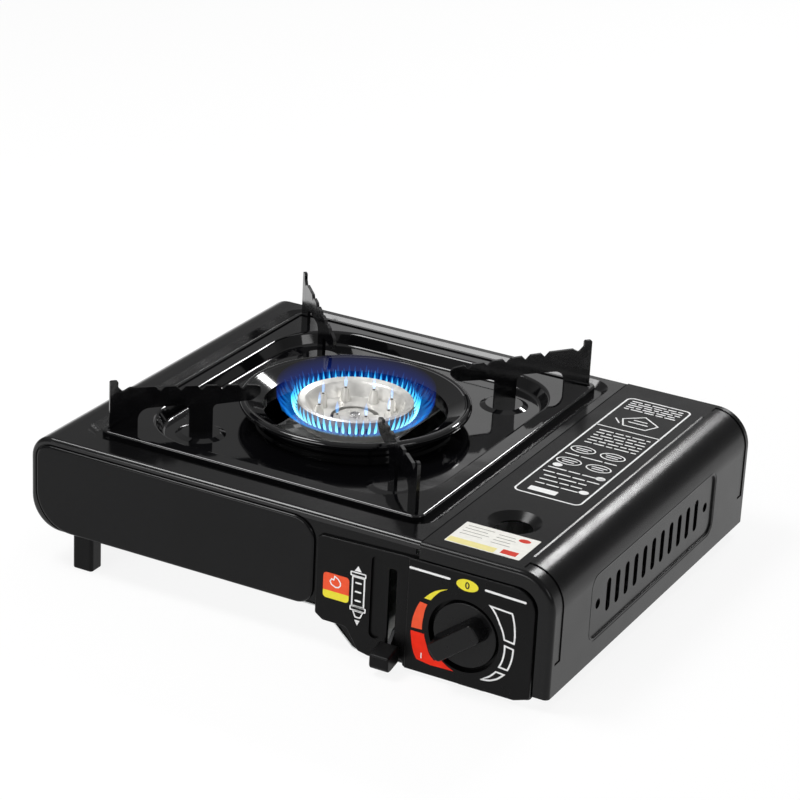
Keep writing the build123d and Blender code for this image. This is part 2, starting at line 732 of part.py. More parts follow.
def make_drive_pin():
    """Pin on the lever that moves the pusher strip."""
    face = Pos(lever_pivot_y, lever_pivot_z + drive_arm) * Circle(drive_pin_r)
    return sideways(face, lever_x0, wall_x0 - part_gap)


def make_lever_pivot():
    """Shouldered pivot pin on the bay wall."""
    place = Pos(lever_pivot_y, lever_pivot_z)
    pin = sideways(place * Circle(lever_pin_r), lever_x0 - part_gap - 1.5, wall_x0)
    pin += sideways(place * Circle(2 * lever_pin_r), lever_x0 + lever_t + part_gap, wall_x0)
    return pin + sideways(place * Circle(2 * lever_pin_r), lever_x0 - part_gap - 1.5,
                          lever_x0 - part_gap)


def make_pusher_strip():
    """Sliding strip along the bay wall, slotted for its guides and the drive pin."""
    x1 = wall_x0 - part_gap
    x0 = x1 - strip_t
    strip = block(x0, x1, lever_pivot_y - 10, pusher_y0, strip_z0, strip_z1)
    strip = fillet(strip.edges().filter_by(Axis.X).group_by(Axis.Y)[0], 3.0)
    pin_z = lever_pivot_z + drive_arm
    drive = Pos(lever_pivot_y, pin_z - 1) * RectangleRounded(
        2 * drive_pin_r + 0.8, 2 * drive_pin_r + 3.6, drive_pin_r)
    strip -= sideways(drive, x0 - 1, x1 + 1)
    for y in guide_rows:
        slot = Pos(y - push_travel / 2, guide_z) * RectangleRounded(
            push_travel + 2 * guide_r + 0.8, 2 * guide_r + 0.6, guide_r + 0.2)
        strip -= sideways(slot, x0 - 1, x1 + 1)
    return strip


def make_pusher_plate():
    """Cross plate that pushes the cartridge onto its socket."""
    x0 = wall_x0 - part_gap - strip_t
    half = 0.7 * cartridge_r
    corners = [
        (x0, strip_z0), (cartridge_x - half, strip_z0), (cartridge_x - half, cartridge_z - half),
        (cartridge_x + half, cartridge_z - half), (cartridge_x + half, strip_z1), (x0, strip_z1)]
    return depthwise(outline(corners, [0, 2, 6, 6, 6, 0]), pusher_y0, pusher_y0 + strip_t)


def make_strip_guides():
    """Headed rivets on the bay wall that guide the strip."""
    pieces = []
    strip_x0 = wall_x0 - part_gap - strip_t
    for y in guide_rows:
        shank = sideways(Pos(y, guide_z) * Circle(guide_r), strip_x0 - part_gap, wall_x0)
        head = sideways(Pos(y, guide_z) * Circle(2 * guide_r), strip_x0 - part_gap - 1.2,
                        strip_x0 - part_gap)
        pieces.append(shank + head)
    return Compound(children=pieces)


# ---- Gas train ----
def make_bulkhead():
    """Upright plate that carries the regulator in front of the bay."""
    low = bay_floor_z
    corners = [(wall_x1, low), (bay_inner_x, low), (bay_inner_x, fascia_top - 4),
               (wall_x1, fascia_top - 4)]
    face = outline(corners, [0, 4, fascia_r - 2, 0])
    plate = depthwise(face, bulkhead_y0, bulkhead_y1)
    key = cartridge_z + socket_r + 2
    plate += block(cartridge_x - 2, cartridge_x + 2, bulkhead_y1, bulkhead_y1 + 5, key, key + 3)
    return plate - depthwise(Pos(cartridge_x, cartridge_z) * Circle(socket_r - 2),
                             bulkhead_y0 - 1, bulkhead_y1 + 1)


def make_cartridge_socket():
    """Collar that the cartridge's valve end seats in."""
    place = Pos(cartridge_x, cartridge_z)
    ring = depthwise(place * Circle(socket_r), bulkhead_y1, bulkhead_y1 + socket_len)
    ring += depthwise(place * Circle(socket_r - 2), bulkhead_y0, bulkhead_y1)
    ring -= depthwise(place * Circle(socket_r - 2), bulkhead_y1 + 2, bulkhead_y1 + socket_len + 1)
    return ring - depthwise(place * Circle(seal_r), bulkhead_y0 - 1, bulkhead_y1 + 3)


def make_socket_seal():
    """Rubber seal round the cartridge's stem."""
    place = Pos(cartridge_x, cartridge_z)
    return depthwise(place * (Circle(seal_r) - Circle(2.0)), bulkhead_y0, bulkhead_y1 + 2)


def make_regulator_body():
    """Die-cast regulator: barrel towards the cartridge and a round diaphragm bowl."""
    barrel = depthwise(Pos(cartridge_x, cartridge_z) * Circle(regulator_r), regulator_y,
                       bulkhead_y0)
    bowl = upright(Pos(cartridge_x, regulator_y) * Circle(bowl_r), valve_top_z,
                   valve_top_z + bowl_h)
    body = barrel + bowl
    return body - depthwise(Pos(cartridge_x, cartridge_z) * Circle(2.0), regulator_y + 4,
                            bulkhead_y0 + 1)


def make_diaphragm_cover():
    """Round cap over the diaphragm, with its adjuster boss."""
    z = valve_top_z + bowl_h
    place = Pos(cartridge_x, regulator_y)
    cap = upright(place * Circle(bowl_r), z, z + 3)
    cap = fillet(cap.faces().sort_by(Axis.Z)[-1].edges(), 1.5)
    return cap + upright(place * Circle(7.0), z + 2, z + 7)


def make_valve_body():
    """Valve block with the bore that the knob shaft turns in."""
    body = block(knob_x - valve_half_w, knob_x + valve_half_w, shaft_end - 16, regulator_y,
                 knob_z - 11, valve_top_z)
    body = fillet(body.edges().filter_by(Axis.Y).group_by(Axis.Z)[0], 4.0)
    bore = Pos(knob_x, knob_z) * Circle(shaft_r + running_gap)
    return body - depthwise(bore, shaft_end - 17, shaft_end + 1)


def make_piezo_igniter():
    """Spark generator beside the valve, fixed to the bulkhead."""
    place = Pos(piezo_x, piezo_z)
    body = depthwise(place * Circle(6.5), bulkhead_y0 - 34, bulkhead_y0)
    body += depthwise(place * Circle(3.0), bulkhead_y0 - 38, bulkhead_y0 - 33)
    return body


def make_burner_bridge():
    """Bent strip that carries the burner above the floor."""
    y0 = well_y0 + 14
    y1 = well_y1 - 14
    bridge = block(base_x0, base_x1, y0, y1, base_z, base_z + base_t)
    for y, out in ((y0, -1), (y1, 1)):
        leg = sorted((y, y + out * -base_t))
        bridge += block(base_x0, base_x1, leg[0], leg[1], tray_z + sheet, base_z + base_t)
        toe = sorted((y, y + out * 10.0))
        bridge += block(base_x0, base_x1, toe[0], toe[1], tray_z + sheet, tray_z + sheet + base_t)
    bridge -= upright(Pos(burner_x, burner_y) * Circle(tube_r + 0.3), base_z - 1, base_z + 2)
    return bridge - upright(electrode_place() * Circle(2.6), base_z - 1, base_z + 2)


def make_burner_cup():
    """Cast mixing cup below the burner head, with a centre post for its screw."""
    z = base_z + base_t
    return turned([
        (tube_r - tube_wall, z), (15.5, z), (cup_r, z + 13), (cup_r, cup_top_z),
        (cup_r - 2, cup_top_z), (cup_r - 2, z + 14), (14.5, z + 2.4), (tube_r - tube_wall, z + 2.4)])


def make_burner_head():
    """Burner head: rim, sunk floor, posts with jets and ports through the wall."""
    inner = head_r - head_wall
    foot_z = hub_z + head_floor_rise
    head = turned([
        (inner, cup_top_z), (head_r, cup_top_z), (head_r, head_top_z - 1), (head_r - 1, head_top_z),
        (head_crown_r, head_top_z - 1.4), (head_crown_r - 0.9, head_top_z - 2.4),
        (head_floor_r, foot_z), (hub_r, hub_z), (0, hub_z),
        (0, hub_z - 2), (hub_r, hub_z - 2), (head_floor_r + 0.9, foot_z - 2),
        (head_crown_r - 0.4, head_top_z - 5), (inner, head_top_z - 4)])
    post_h = head_top_z - post_drop - foot_z + 1
    for i in range(post_count):
        place = Pos(burner_x, burner_y, head_top_z - post_drop) * Rot(0, 0, i * 360 / post_count)
        place *= Pos(post_ring_r, 0)
        head += place * Pos(0, 0, -post_h / 2) * Cone(post_base_r, post_tip_r, post_h)
        head -= place * Pos(0, 0, -1.4) * Cylinder(0.8, 3.0)
    for i in range(port_count):
        port = Pos(burner_x, burner_y, port_z) * Rot(0, 0, (i + 0.5) * 360 / port_count)
        head -= port * Pos(head_r - head_wall / 2, 0) * Box(
            head_wall + 1.4, port_size[0], port_size[1])
    crescent = Circle(hub_r + 0.1) - Circle(hub_r - 3.1)
    crescent -= Rot(0, 0, 42.5) * Pos(0, -20) * Rectangle(60, 40)
    head -= upright(Pos(burner_x, burner_y) * crescent, hub_z - 5, head_top_z)
    slot = Rot(0, 0, -72) * Pos(hub_r - 5, 0) * Rectangle(3.6, 10.5)
    head -= upright(Pos(burner_x, burner_y) * slot, hub_z - 5, head_top_z)
    return head - upright(Pos(burner_x, burner_y) * Circle(1.6), hub_z - 5, head_top_z)


def make_hub_screw():
    """Screw through the middle of the burner head, with its nut."""
    place = Pos(burner_x, burner_y)
    screw = upright(place * Circle(1.5), hub_z - 6, hub_z)
    head = upright(place * Circle(3.2), hub_z, hub_z + 2)
    head = fillet(head.faces().sort_by(Axis.Z)[-1].edges(), 0.8)
    head -= Pos(burner_x, burner_y, hub_z + 2) * Rot(0, 0, 20) * Box(5.0, 0.9, 1.6)
    return screw + head + upright(place * RegularPolygon(3.4, 6), hub_z - 4.8, hub_z - 2)


def make_mixing_tube():
    """Cast tube that leads the gas and air mixture under the burner."""
    across = Pos(burner_y, tube_z)
    tube = sideways(across * Circle(tube_r), burner_x - tube_r, tube_end_x)
    tube += upright(Pos(burner_x, burner_y) * Circle(tube_r), tube_z, base_z + base_t)
    tube += sideways(across * Circle(tube_r + 2.5), tube_end_x - 10, tube_end_x)
    bore = tube_r - tube_wall
    tube -= sideways(across * Circle(bore), burner_x - bore, tube_end_x + 1)
    return tube - upright(Pos(burner_x, burner_y) * Circle(bore), tube_z, base_z + base_t + 1)


def make_air_shutter():
    """Slotted collar that sets the primary air at the mouth of the tube."""
    across = Pos(burner_y, tube_z)
    outer = tube_r + 4.0
    shutter = sideways(across * Circle(outer), tube_end_x, tube_end_x + 12)
    shutter -= sideways(across * Circle(outer - 1.2), tube_end_x - 1, tube_end_x + 10.8)
    shutter -= sideways(across * Circle(jet_r), tube_end_x, tube_end_x + 13)
    shutter += sideways(across * (Circle(outer) - Circle(tube_r + 2.5)), tube_end_x - 6,
                        tube_end_x)
    for angle in (0, 180):
        window = Pos(0, burner_y, tube_z) * Rot(angle, 0, 0)
        shutter -= window * Pos(tube_end_x + 5.5, outer, 0) * Box(6.0, 8.0, 9.0)
    return shutter


def make_jet_holder():
    """Brass jet that blows into the mixing tube."""
    across = Pos(burner_y, tube_z)
    jet = sideways(across * Circle(jet_r), tube_end_x + 4, tube_end_x + 16)
    return jet + sideways(across * RegularPolygon(6.0, 6), tube_end_x + 12, tube_end_x + 16)


def pipe_route():
    """Points of the gas pipe from the valve to the jet."""
    left = knob_x - valve_half_w
    return [
        (left, pipe_cross_y - 12, knob_z), (left - 9, pipe_cross_y - 12, knob_z),
        (left - 9, pipe_cross_y, pipe_low_z), (pipe_run_x, pipe_cross_y, pipe_low_z),
        (pipe_run_x, burner_y - 14, pipe_low_z), (pipe_run_x, burner_y, tube_z),
        (tube_end_x + 16, burner_y, tube_z)]


def make_gas_pipe():
    """Thin pipe from the valve to the jet."""
    return tube_path(pipe_route(), [4, 6, 6, 8, 5], pipe_r)


def electrode_place():
    """Where the spark electrode stands beside the burner."""
    angle = radians(137.0)
    reach = head_r + 5.5
    return Pos(burner_x + reach * cos(angle), burner_y + reach * sin(angle))


def make_electrode():
    """Ceramic insulator that holds the spark tip."""
    stem = upright(electrode_place() * Circle(2.5), base_z - 7, head_top_z - 6)
    return stem + upright(electrode_place() * Circle(4.0), base_z + base_t, base_z + base_t + 3)


def make_electrode_tip():
    """Bent wire that the spark jumps from."""
    x = electrode_place().position.X
    y = electrode_place().position.Y
    toward = radians(137.0)
    points = [
        (x, y, head_top_z - 6), (x, y, head_top_z - 3.5),
        (x - 4.2 * cos(toward), y - 4.2 * sin(toward), head_top_z - 1.5)]
    return tube_path(points, [1.5], 0.7)


# ---- Pan set that lifts off ----
def basin_block(grow):
    """The plate's basin as a block with leaning walls, grown by a sheet thickness."""
    brink = rounded(plate_w - 2 * flange_w + 2 * grow, plate_d - 2 * flange_w + 2 * grow,
                    basin_r + grow, burner_x, burner_y)
    drop = flange_z - plate_floor_z
    basin = extrude(Plane.XY.offset(flange_z) * brink, -(drop + grow), taper=basin_lean)
    return fillet(basin.faces().sort_by(Axis.Z)[0].edges(), basin_bend + grow)


def make_drip_plate():
    """Enamelled drip plate: rolled edge, flat margin, sloping basin and raised seats."""
    top = flange_z + bead_h
    under = flange_z - plate_t
    edge = upright(rounded(plate_w, plate_d, plate_r, burner_x, burner_y), ledge_z, top)
    plate = fillet(edge.faces().sort_by(Axis.Z)[-1].edges(), 1.3)
    plate -= upright(rounded(plate_w - 2 * bead_w, plate_d - 2 * bead_w, plate_r - bead_w,
                             burner_x, burner_y), flange_z, top + 1)
    plate -= upright(rounded(plate_w - 2 * bead_w + 2, plate_d - 2 * bead_w + 2,
                             plate_r - bead_w + 1, burner_x, burner_y), ledge_z - 1, under)
    plate += basin_block(plate_t)
    plate -= basin_block(0)
    brink = [e for e in plate.edges()
             if abs(e.center().Z - flange_z) < 0.01 and abs(e.center().X - burner_x) < basin_reach_x
             and abs(e.center().Y - burner_y) < basin_reach_y]
    plate = fillet(brink, basin_bend)
    for x, y in seat_places():
        seat = Pos(x, y, plate_floor_z)
        plate += seat * Pos(0, 0, boss_h / 2) * Cone(boss_r, boss_top_r, boss_h)
        plate -= seat * Pos(0, 0, boss_h / 2 - plate_t) * Cone(boss_r - 0.6, boss_top_r - 0.6, boss_h)
    return plate - upright(Pos(burner_x, burner_y) * Circle(ring_neck_r - 0.5), plate_floor_z - 2,
                           flange_z)


def diagonals():
    """The four directions of the pan supports."""
    return (support_angle, 180 - support_angle, 180 + support_angle, -support_angle)


def seat_places():
    """Centres of the four raised seats."""
    return [(burner_x + boss_at * cos(radians(a)), burner_y + boss_at * sin(radians(a)))
            for a in diagonals()]


def make_pan_ring():
    """Pressed ring: rolled rim, sloping collar, neck and a foot on the plate."""
    z = plate_floor_z
    top = ring_top_z
    neck = ring_neck_r
    face = make_face(Polyline(
        (neck + ring_foot, 0, z), (neck + ring_foot, 0, z + ring_t), (neck + 0.8, 0, z + ring_t),
        (neck, 0, z + ring_t + 0.8), (neck, 0, top - 6.0), (ring_outer_r - 4, 0, top - ring_t - 0.4),
        (ring_outer_r - 1.4, 0, top - 3.2), (ring_outer_r, 0, top - 2.2),
        (ring_outer_r - 0.2, 0, top - 0.8), (ring_outer_r - 2, 0, top),
        (ring_outer_r - 4.5, 0, top), (neck - ring_t, 0, top - 5.4), (neck - ring_t, 0, z), close=True))
    return Pos(burner_x, burner_y, 0) * revolve(face, Axis.Z)


def support_face():
    """Saw-toothed pan support on two legs, drawn from the burner axis outwards."""
    tip = support_tip
    horn_in = horn_at - 5.0
    seat_z = plate_floor_z + boss_h
    outer_leg = horn_at - outer_leg_w
    inner_leg = boss_at + inner_leg_w / 2
    points = [(tip, ring_top_z + 9, 2.5), (tip, ring_top_z + 14.2, 2.5)]
    for i in range(tooth_count):
        rho = first_tooth - (tooth_count - 1 - i) * tooth_pitch
        slope = (rho - tip) / (first_tooth - tip)
        notch = 98.2 + 4.0 * slope
        crest = 101.0 + 4.2 * slope
        points += [(rho - 2.6, crest - 0.3, 0), (rho, notch, 0), (rho + 3.0, crest + 0.2, 0)]
    points += [
        (horn_in - 7.0, shoulder_z, 0.6), (horn_in - 3.0, shoulder_z - 2.2, 1.2),
        (horn_in, shoulder_z + 1, 1.2), (horn_in, horn_top_z, 1.2), (horn_at, horn_top_z, 1.2),
        (horn_at, flange_z + 1, 0), (horn_at - 1, flange_z, 0), (outer_leg, flange_z, 0),
        (outer_leg, arm_low_z, 7), (inner_leg, arm_low_z, 5), (inner_leg, seat_z, 0),
        (inner_leg - inner_leg_w, seat_z, 0), (inner_leg - inner_leg_w, arm_low_z - 1.5, 3),
        (ring_outer_r - 5, arm_low_z - 0.8, 4)]
    return outline([(rho, z) for rho, z, r in points], [r for rho, z, r in points])


def make_pan_support(angle):
    """One pan support standing on the plate, its dish and the ring."""
    plate = extrude(Plane.XZ * support_face(), support_t / 2, both=True)
    return Pos(burner_x, burner_y, 0) * Rot(0, 0, angle) * plate


def main():
    """Build every piece and write one STEP file for each."""
    os.makedirs("parts", exist_ok=True)
    pieces = {
        "top_shell": make_top_shell(),
        "front_panel": make_front_panel(),
        "rear_panel": make_rear_panel(),
        "bottom_tray": make_bottom_tray(),
        "bay_wall": make_bay_wall(),
        "case_screws": make_case_screws(),
        "front_left_foot": make_left_foot(foot_rows[0]),
        "rear_left_foot": make_left_foot(foot_rows[1]),
        "bay_pads": make_bay_pads(),
        "fascia": make_fascia(),
        "hinge_brackets": make_hinge_brackets(),
        "lid_cover": make_lid_cover(),
        "lid_lugs": make_lid_lugs(),
        "knob": make_knob(),
        "knob_shaft": make_knob_shaft(),
        "igniter_cam": make_igniter_cam(),
        "lever_arm": make_lever_arm(),
        "lever_grip": make_lever_grip(),
        "drive_pin": make_drive_pin(),
        "lever_pivot": make_lever_pivot(),
        "pusher_strip": make_pusher_strip(),
        "pusher_plate": make_pusher_plate(),
        "strip_guides": make_strip_guides(),
        "regulator_bulkhead": make_bulkhead(),
        "cartridge_socket": make_cartridge_socket(),
        "socket_seal": make_socket_seal(),
        "regulator_body": make_regulator_body(),
        "diaphragm_cover": make_diaphragm_cover(),
        "valve_body": make_valve_body(),
        "piezo_igniter": make_piezo_igniter(),
        "burner_bridge": make_burner_bridge(),
        "burner_cup": make_burner_cup(),
        "burner_head": make_burner_head(),
        "hub_screw": make_hub_screw(),
        "mixing_tube": make_mixing_tube(),
        "air_shutter": make_air_shutter(),
        "jet_holder": make_jet_holder(),
        "gas_pipe": make_gas_pipe(),
        "electrode": make_electrode(),
        "electrode_tip": make_electrode_tip(),
        "drip_plate": make_drip_plate(),
        "pan_ring": make_pan_ring(),
    }
    for number, angle in enumerate(diagonals(), start=1):
        pieces[f"pan_support_{number}"] = make_pan_support(angle)
    for name, shape in pieces.items():
        export_step(shape, f"parts/{name}.step")


main()
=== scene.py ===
"""Looks of the butane cassette stove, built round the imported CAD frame.

Drawn sizes are in millimetres, as in the CAD source. The camera, the lamps, the floor and the
depths of the bumps are in metres.
"""
import math
from collections import namedtuple

import bmesh
import bpy
from mathutils import Matrix, Vector
from mathutils.geometry import tessellate_polygon


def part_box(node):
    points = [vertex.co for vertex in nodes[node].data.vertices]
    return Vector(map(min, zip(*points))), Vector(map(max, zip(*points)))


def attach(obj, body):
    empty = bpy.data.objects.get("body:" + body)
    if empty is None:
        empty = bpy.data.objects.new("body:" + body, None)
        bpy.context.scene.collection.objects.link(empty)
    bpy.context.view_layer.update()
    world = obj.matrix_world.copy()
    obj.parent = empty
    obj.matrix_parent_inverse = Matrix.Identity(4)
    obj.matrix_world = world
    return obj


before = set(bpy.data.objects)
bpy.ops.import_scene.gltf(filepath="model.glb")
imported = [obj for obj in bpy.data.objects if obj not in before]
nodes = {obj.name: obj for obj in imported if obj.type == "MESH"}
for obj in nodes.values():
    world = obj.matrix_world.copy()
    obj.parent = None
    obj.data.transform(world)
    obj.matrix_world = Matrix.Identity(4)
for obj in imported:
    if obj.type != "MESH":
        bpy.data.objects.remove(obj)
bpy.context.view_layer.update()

MM = 0.001                    # metres

CAMERA_AT = (0.72207, -1.38001, 0.75742)
CAMERA_AZIMUTH = 27.51        # degrees, to the right of the front
CAMERA_ELEVATION = 22.96      # degrees
CAMERA_ROLL = 2.915           # degrees
CAMERA_NEAR = 0.05
CAMERA_LENS = 129.1           # mm
CAMERA_SENSOR = 36.0          # mm, its width

NOISE_LOW = 0.3               # a noise texture is seldom under this
NOISE_HIGH = 0.7              # nor over this

INK = 0.06                    # height of the print on the fascia and the lid
STICKER = 0.1                 # height of the sticker on the fascia
STICKER_INK = 0.13            # height of the white sign on and beside it
LABEL = 0.12                  # height of the label on the lid
LABEL_INK = 0.16              # height of what is printed on that label
PORT_SHADE_DOT = 0.1                 # height of the dark dot painted as the shade in the jet hole at the tip of a post
DIGIT_RISE = 0.09             # from the fascia up to the middle of a digit
DIGIT_HALF = 0.03             # half the thickness of a digit
DIGIT_BOLD = 0.12             # added all round the font's outline

SHARP = 0.7                   # a corner is sharp where its two unit normals sum to less
SHARP_REACH = 1.6             # such a corner moves by this times the offset

KNOB_AXIS = (117.7, 32.3)     # X and Z
LEVER_SIDE_STEP = 0.8         # from the knob side of the fascia back to its lever side
OFF_SPOT = (118.3, 63.35)     # X and Z of the field with the 0, over the knob
LIT_SPOT = (92.7, 13.2)       # X and Z of the 1, at the end of the red field
STICKER_BOX = (28.9, 45.4, 31.3, 46.9)    # X and Z ranges
STICKER_R = 2.2               # its corners
STICKER_SPLIT = 36.0          # Z of the line between the sticker's two colours

LID_PRINT_BACK = 7.5          # how far back of the drawn Y the prints of the lid lie
WORDS = (7.0, 4.2, 9.5, 5.4, 3.4, 8.0, 6.2, 4.8)    # lengths of the bars in place of words
WORD_GAP = 1.1
WORD_LEAST = 1.5              # no bar starts in less room than this

POSTS = 8                     # posts of the burner head, with a jet each
POST_RING = 22.6              # from the burner axis
POST_DROP = 2.2               # from the rim of the head down to the tips of the posts
JET_R = 0.85
JET_SIDES = 16

HEM_R = 2.4                   # the rolled brim of the ring
HEM_IN = 2.3                  # from the ring's edge in to the middle of the hem
HEM_DOWN = 1.9                # from the ring's edge down to it
HEM_SIDES = 16
HEM_STEPS = 96                # round the ring
VENT_FIELD = (-78.9, 91.9, 21.8, 59.2)    # Y and Z ranges of the lid's vent field
VENT_R = 6.0                  # its corners
BEAD_IN = 0.75                # from the lid's side in to the middle of the bead
BEAD_OUT = 1.2                # from the vent field's edge out to it
BEAD_HALF = (0.7, 0.9)        # half its depth and half its width
BEAD_SIDES = 12

TONGUES = 60                  # bright tongues of the flame, round the burner head
STREAKS = 84                  # faint streaks outside them
TONGUE_SIDES = 6
TONGUE_FLAT = 0.7             # its depth over its width
HALO_STEPS = 72

ROOM = ((0.0, 0.45), (0.12, 0.3), (0.3, 0.19), (0.5, 0.28), (1.0, 0.5))    # height and grey
FLOOR_HALF = 40.0             # metres
FLOOR_COLOR = (0.9, 0.9, 0.9)
FLOOR_GLOW = 1.02             # strength
FLOOR_GLOW_SHARE = 0.85       # the rest takes light and shadow

# Name, place, target, width and height, watts
LAMPS = (
    ("overhead", (-0.62, -0.3, 1.3), (0, 0, 0.05), (0.6, 0.45), 11.0),
    ("rear_strip", (0.13, 1.5, 1.14), (0.1, 0, 0.05), (0.46, 0.16), 10.0),
    ("rear_card", (-0.68, 1.7, 0.82), (0.05, 0.03, 0.07), (0.6, 0.2), 0.26),
    ("right_bank", (1.5, -0.3, 0.8), (0.1, 0, 0.05), (0.6, 0.5), 3.0),
    ("front_fill", (-0.5, -1.7, 0.5), (0, 0, 0.05), (1.0, 0.5), 9.5),
)


# ---- Camera ----
def add_camera():
    az, el, roll = (math.radians(v) for v in (CAMERA_AZIMUTH, CAMERA_ELEVATION, CAMERA_ROLL))
    back = Vector((math.sin(az) * math.cos(el), -math.cos(az) * math.cos(el), math.sin(el)))
    side = Vector((math.cos(az), math.sin(az), 0))
    up = side.cross(-back)
    right = side * math.cos(roll) + up * math.sin(roll)
    top = up * math.cos(roll) - side * math.sin(roll)
    data = bpy.data.cameras.new("camera")
    data.sensor_width = CAMERA_SENSOR
    data.lens = CAMERA_LENS
    data.clip_start = CAMERA_NEAR
    camera = bpy.data.objects.new("camera", data)
    bpy.context.scene.collection.objects.link(camera)
    turn = Matrix((right, top, back)).transposed().to_4x4()
    camera.matrix_world = Matrix.Translation(CAMERA_AT) @ turn
    bpy.context.scene.camera = camera


# ---- Node trees ----
class Tree:
    """The node tree of a material or the world, with short calls to add and join nodes."""

    def __init__(self, owner):
        owner.use_nodes = True
        self.tree = owner.node_tree

    def node(self, kind, **values):
        """A new node, with values for its sockets or for its own settings."""
        node = self.tree.nodes.new(kind)
        for key, value in values.items():
            if key in node.inputs:
                node.inputs[key].default_value = value
            else:
                setattr(node, key, value)
        return node

    def link(self, out, into):
        self.tree.links.new(out, into)

    def maths(self, operation, first, second):
        """A Math node on a socket and a second socket or number."""
        node = self.node("ShaderNodeMath", operation=operation)
        self.link(first, node.inputs[0])
        if isinstance(second, float):
            node.inputs[1].default_value = second
        else:
            self.link(second, node.inputs[1])
        return node.outputs[0]

    def height(self):
        """Height over a piece from 0 to 1, or in the world the sine of the height in the sky."""
        split = self.node("ShaderNodeSeparateXYZ")
        self.link(self.node("ShaderNodeTexCoord").outputs["Generated"], split.inputs[0])
        return split.outputs["Z"]

    def ramp(self, fac, stops):
        """Colour along fac, from stops of a place and a colour."""
        node = self.node("ShaderNodeValToRGB")
        ends = node.color_ramp.elements
        for end, (place, color) in zip(list(ends), (stops[0], stops[-1])):
            end.position = place
            end.color = (*color, 1)
        for place, color in stops[1:-1]:
            ends.new(place).color = (*color, 1)
        self.link(fac, node.inputs[0])
        return node.outputs[0]


class Shader(Tree):
    """A Principled material whose colour, roughness and bump come from nodes."""

    def __init__(self, name, color, metal=0.0, specular=0.5):
        self.mat = bpy.data.materials.new(name)
        super().__init__(self.mat)
        self.color = color
        self.bsdf = self.tree.nodes["Principled BSDF"]
        self.bsdf.inputs["Base Color"].default_value = (*color, 1)
        self.bsdf.inputs["Metallic"].default_value = metal
        self.bsdf.inputs["Specular IOR Level"].default_value = specular
        self.coords = self.node("ShaderNodeTexCoord").outputs["Object"]
        self.normal = None

    def noise(self, scale, detail=2.0, stretch=None):
        node = self.node("ShaderNodeTexNoise", Scale=scale, Detail=detail)
        self.link(self.stretched(stretch), node.inputs["Vector"])
        return node.outputs["Fac"]

    def stretched(self, stretch):
        if stretch is None:
            return self.coords
        node = self.node("ShaderNodeMapping", Scale=stretch)
        self.link(self.coords, node.inputs["Vector"])
        return node.outputs["Vector"]

    def spread(self, fac, low, high):
        """What lies from NOISE_LOW to NOISE_HIGH, drawn out from low to high."""
        node = self.node("ShaderNodeMapRange")
        node.inputs["From Min"].default_value = NOISE_LOW
        node.inputs["From Max"].default_value = NOISE_HIGH
        node.inputs["To Min"].default_value = low
        node.inputs["To Max"].default_value = high
        self.link(fac, node.inputs["Value"])
        return node.outputs["Result"]

    def roughness(self, fac, low, high):
        self.link(self.spread(fac, low, high), self.bsdf.inputs["Roughness"])
        return self

    def shade(self, fac, low, high):
        """The base colour times low to high."""
        mix = self.node("ShaderNodeMix", data_type="RGBA")
        self.link(self.spread(fac, 0, 1), mix.inputs["Factor"])
        for name, gain in (("A", low), ("B", high)):
            color = [min(1, c * gain) for c in self.color]
            color_socket(mix.inputs, name).default_value = (*color, 1)
        self.link(color_socket(mix.outputs, "Result"), self.bsdf.inputs["Base Color"])
        return self

    def bump(self, height, distance, strength):
        node = self.node("ShaderNodeBump", Strength=strength, Distance=distance)
        self.link(height, node.inputs["Height"])
        if self.normal is not None:
            self.link(self.normal, node.inputs["Normal"])
        self.normal = node.outputs["Normal"]
        self.link(self.normal, self.bsdf.inputs["Normal"])
        return self


def color_socket(sockets, name):
    """The colour socket of that name, which a Mix node also has for other kinds of value."""
    return [s for s in sockets if s.name == name and s.type == "RGBA"][0]


# ---- Materials ----
def paint(name, specular, low, high):
    """Black paint on pressed sheet, with a faint orange peel."""
    s = Shader(name, (0.003, 0.003, 0.0033), specular=specular)
    s.roughness(s.noise(60), low, high).shade(s.noise(25), 0.85, 1.15)
    s.bump(s.noise(1500, 3), 0.00003, 0.25)
    return s.mat


def black_enamel():
    """Glassy enamel over slightly wavy sheet."""
    s = Shader("black_enamel", (0.0025, 0.0025, 0.003))
    s.roughness(s.noise(40), 0.045, 0.09)
    s.bump(s.noise(28, 1), 0.0009, 0.22).bump(s.noise(500, 1), 0.00002, 0.2)
    return s.mat


def support_enamel():
    s = Shader("support_enamel", (0.0025, 0.0025, 0.003))
    s.roughness(s.noise(70), 0.1, 0.2)
    s.bump(s.noise(160, 2), 0.0004, 0.3).bump(s.noise(700, 2), 0.00005, 0.3)
    return s.mat


def black_plastic():
    s = Shader("black_plastic", (0.003, 0.003, 0.0032), specular=0.12)
    s.roughness(s.noise(90), 0.26, 0.34).shade(s.noise(40), 0.85, 1.15)
    s.bump(s.noise(2600, 2), 0.00004, 0.3)
    return s.mat


def knob_plastic():
    s = Shader("knob_plastic", (0.004, 0.004, 0.0043), specular=0.2)
    s.roughness(s.noise(90), 0.22, 0.3).bump(s.noise(3000, 2), 0.00003, 0.25)
    return s.mat


def white_plastic():
    s = Shader("white_plastic", (0.78, 0.78, 0.75))
    s.roughness(s.noise(80), 0.4, 0.5).shade(s.noise(60), 0.97, 1.0)
    return s.mat


def cast_aluminium():
    s = Shader("cast_aluminium", (0.82, 0.81, 0.78), 0.7)
    s.roughness(s.noise(260, 3), 0.32, 0.5).shade(s.noise(120), 0.86, 1.06)
    s.bump(s.noise(900, 4), 0.00012, 0.5)
    return s.mat


def steel():
    """Bright steel with its grain along Y."""
    s = Shader("steel", (0.60, 0.60, 0.61), 1.0)
    s.roughness(s.noise(400, 2, (1, 0.05, 1)), 0.2, 0.34)
    s.bump(s.noise(1800, 2, (1, 0.04, 1)), 0.00003, 0.3)
    return s.mat


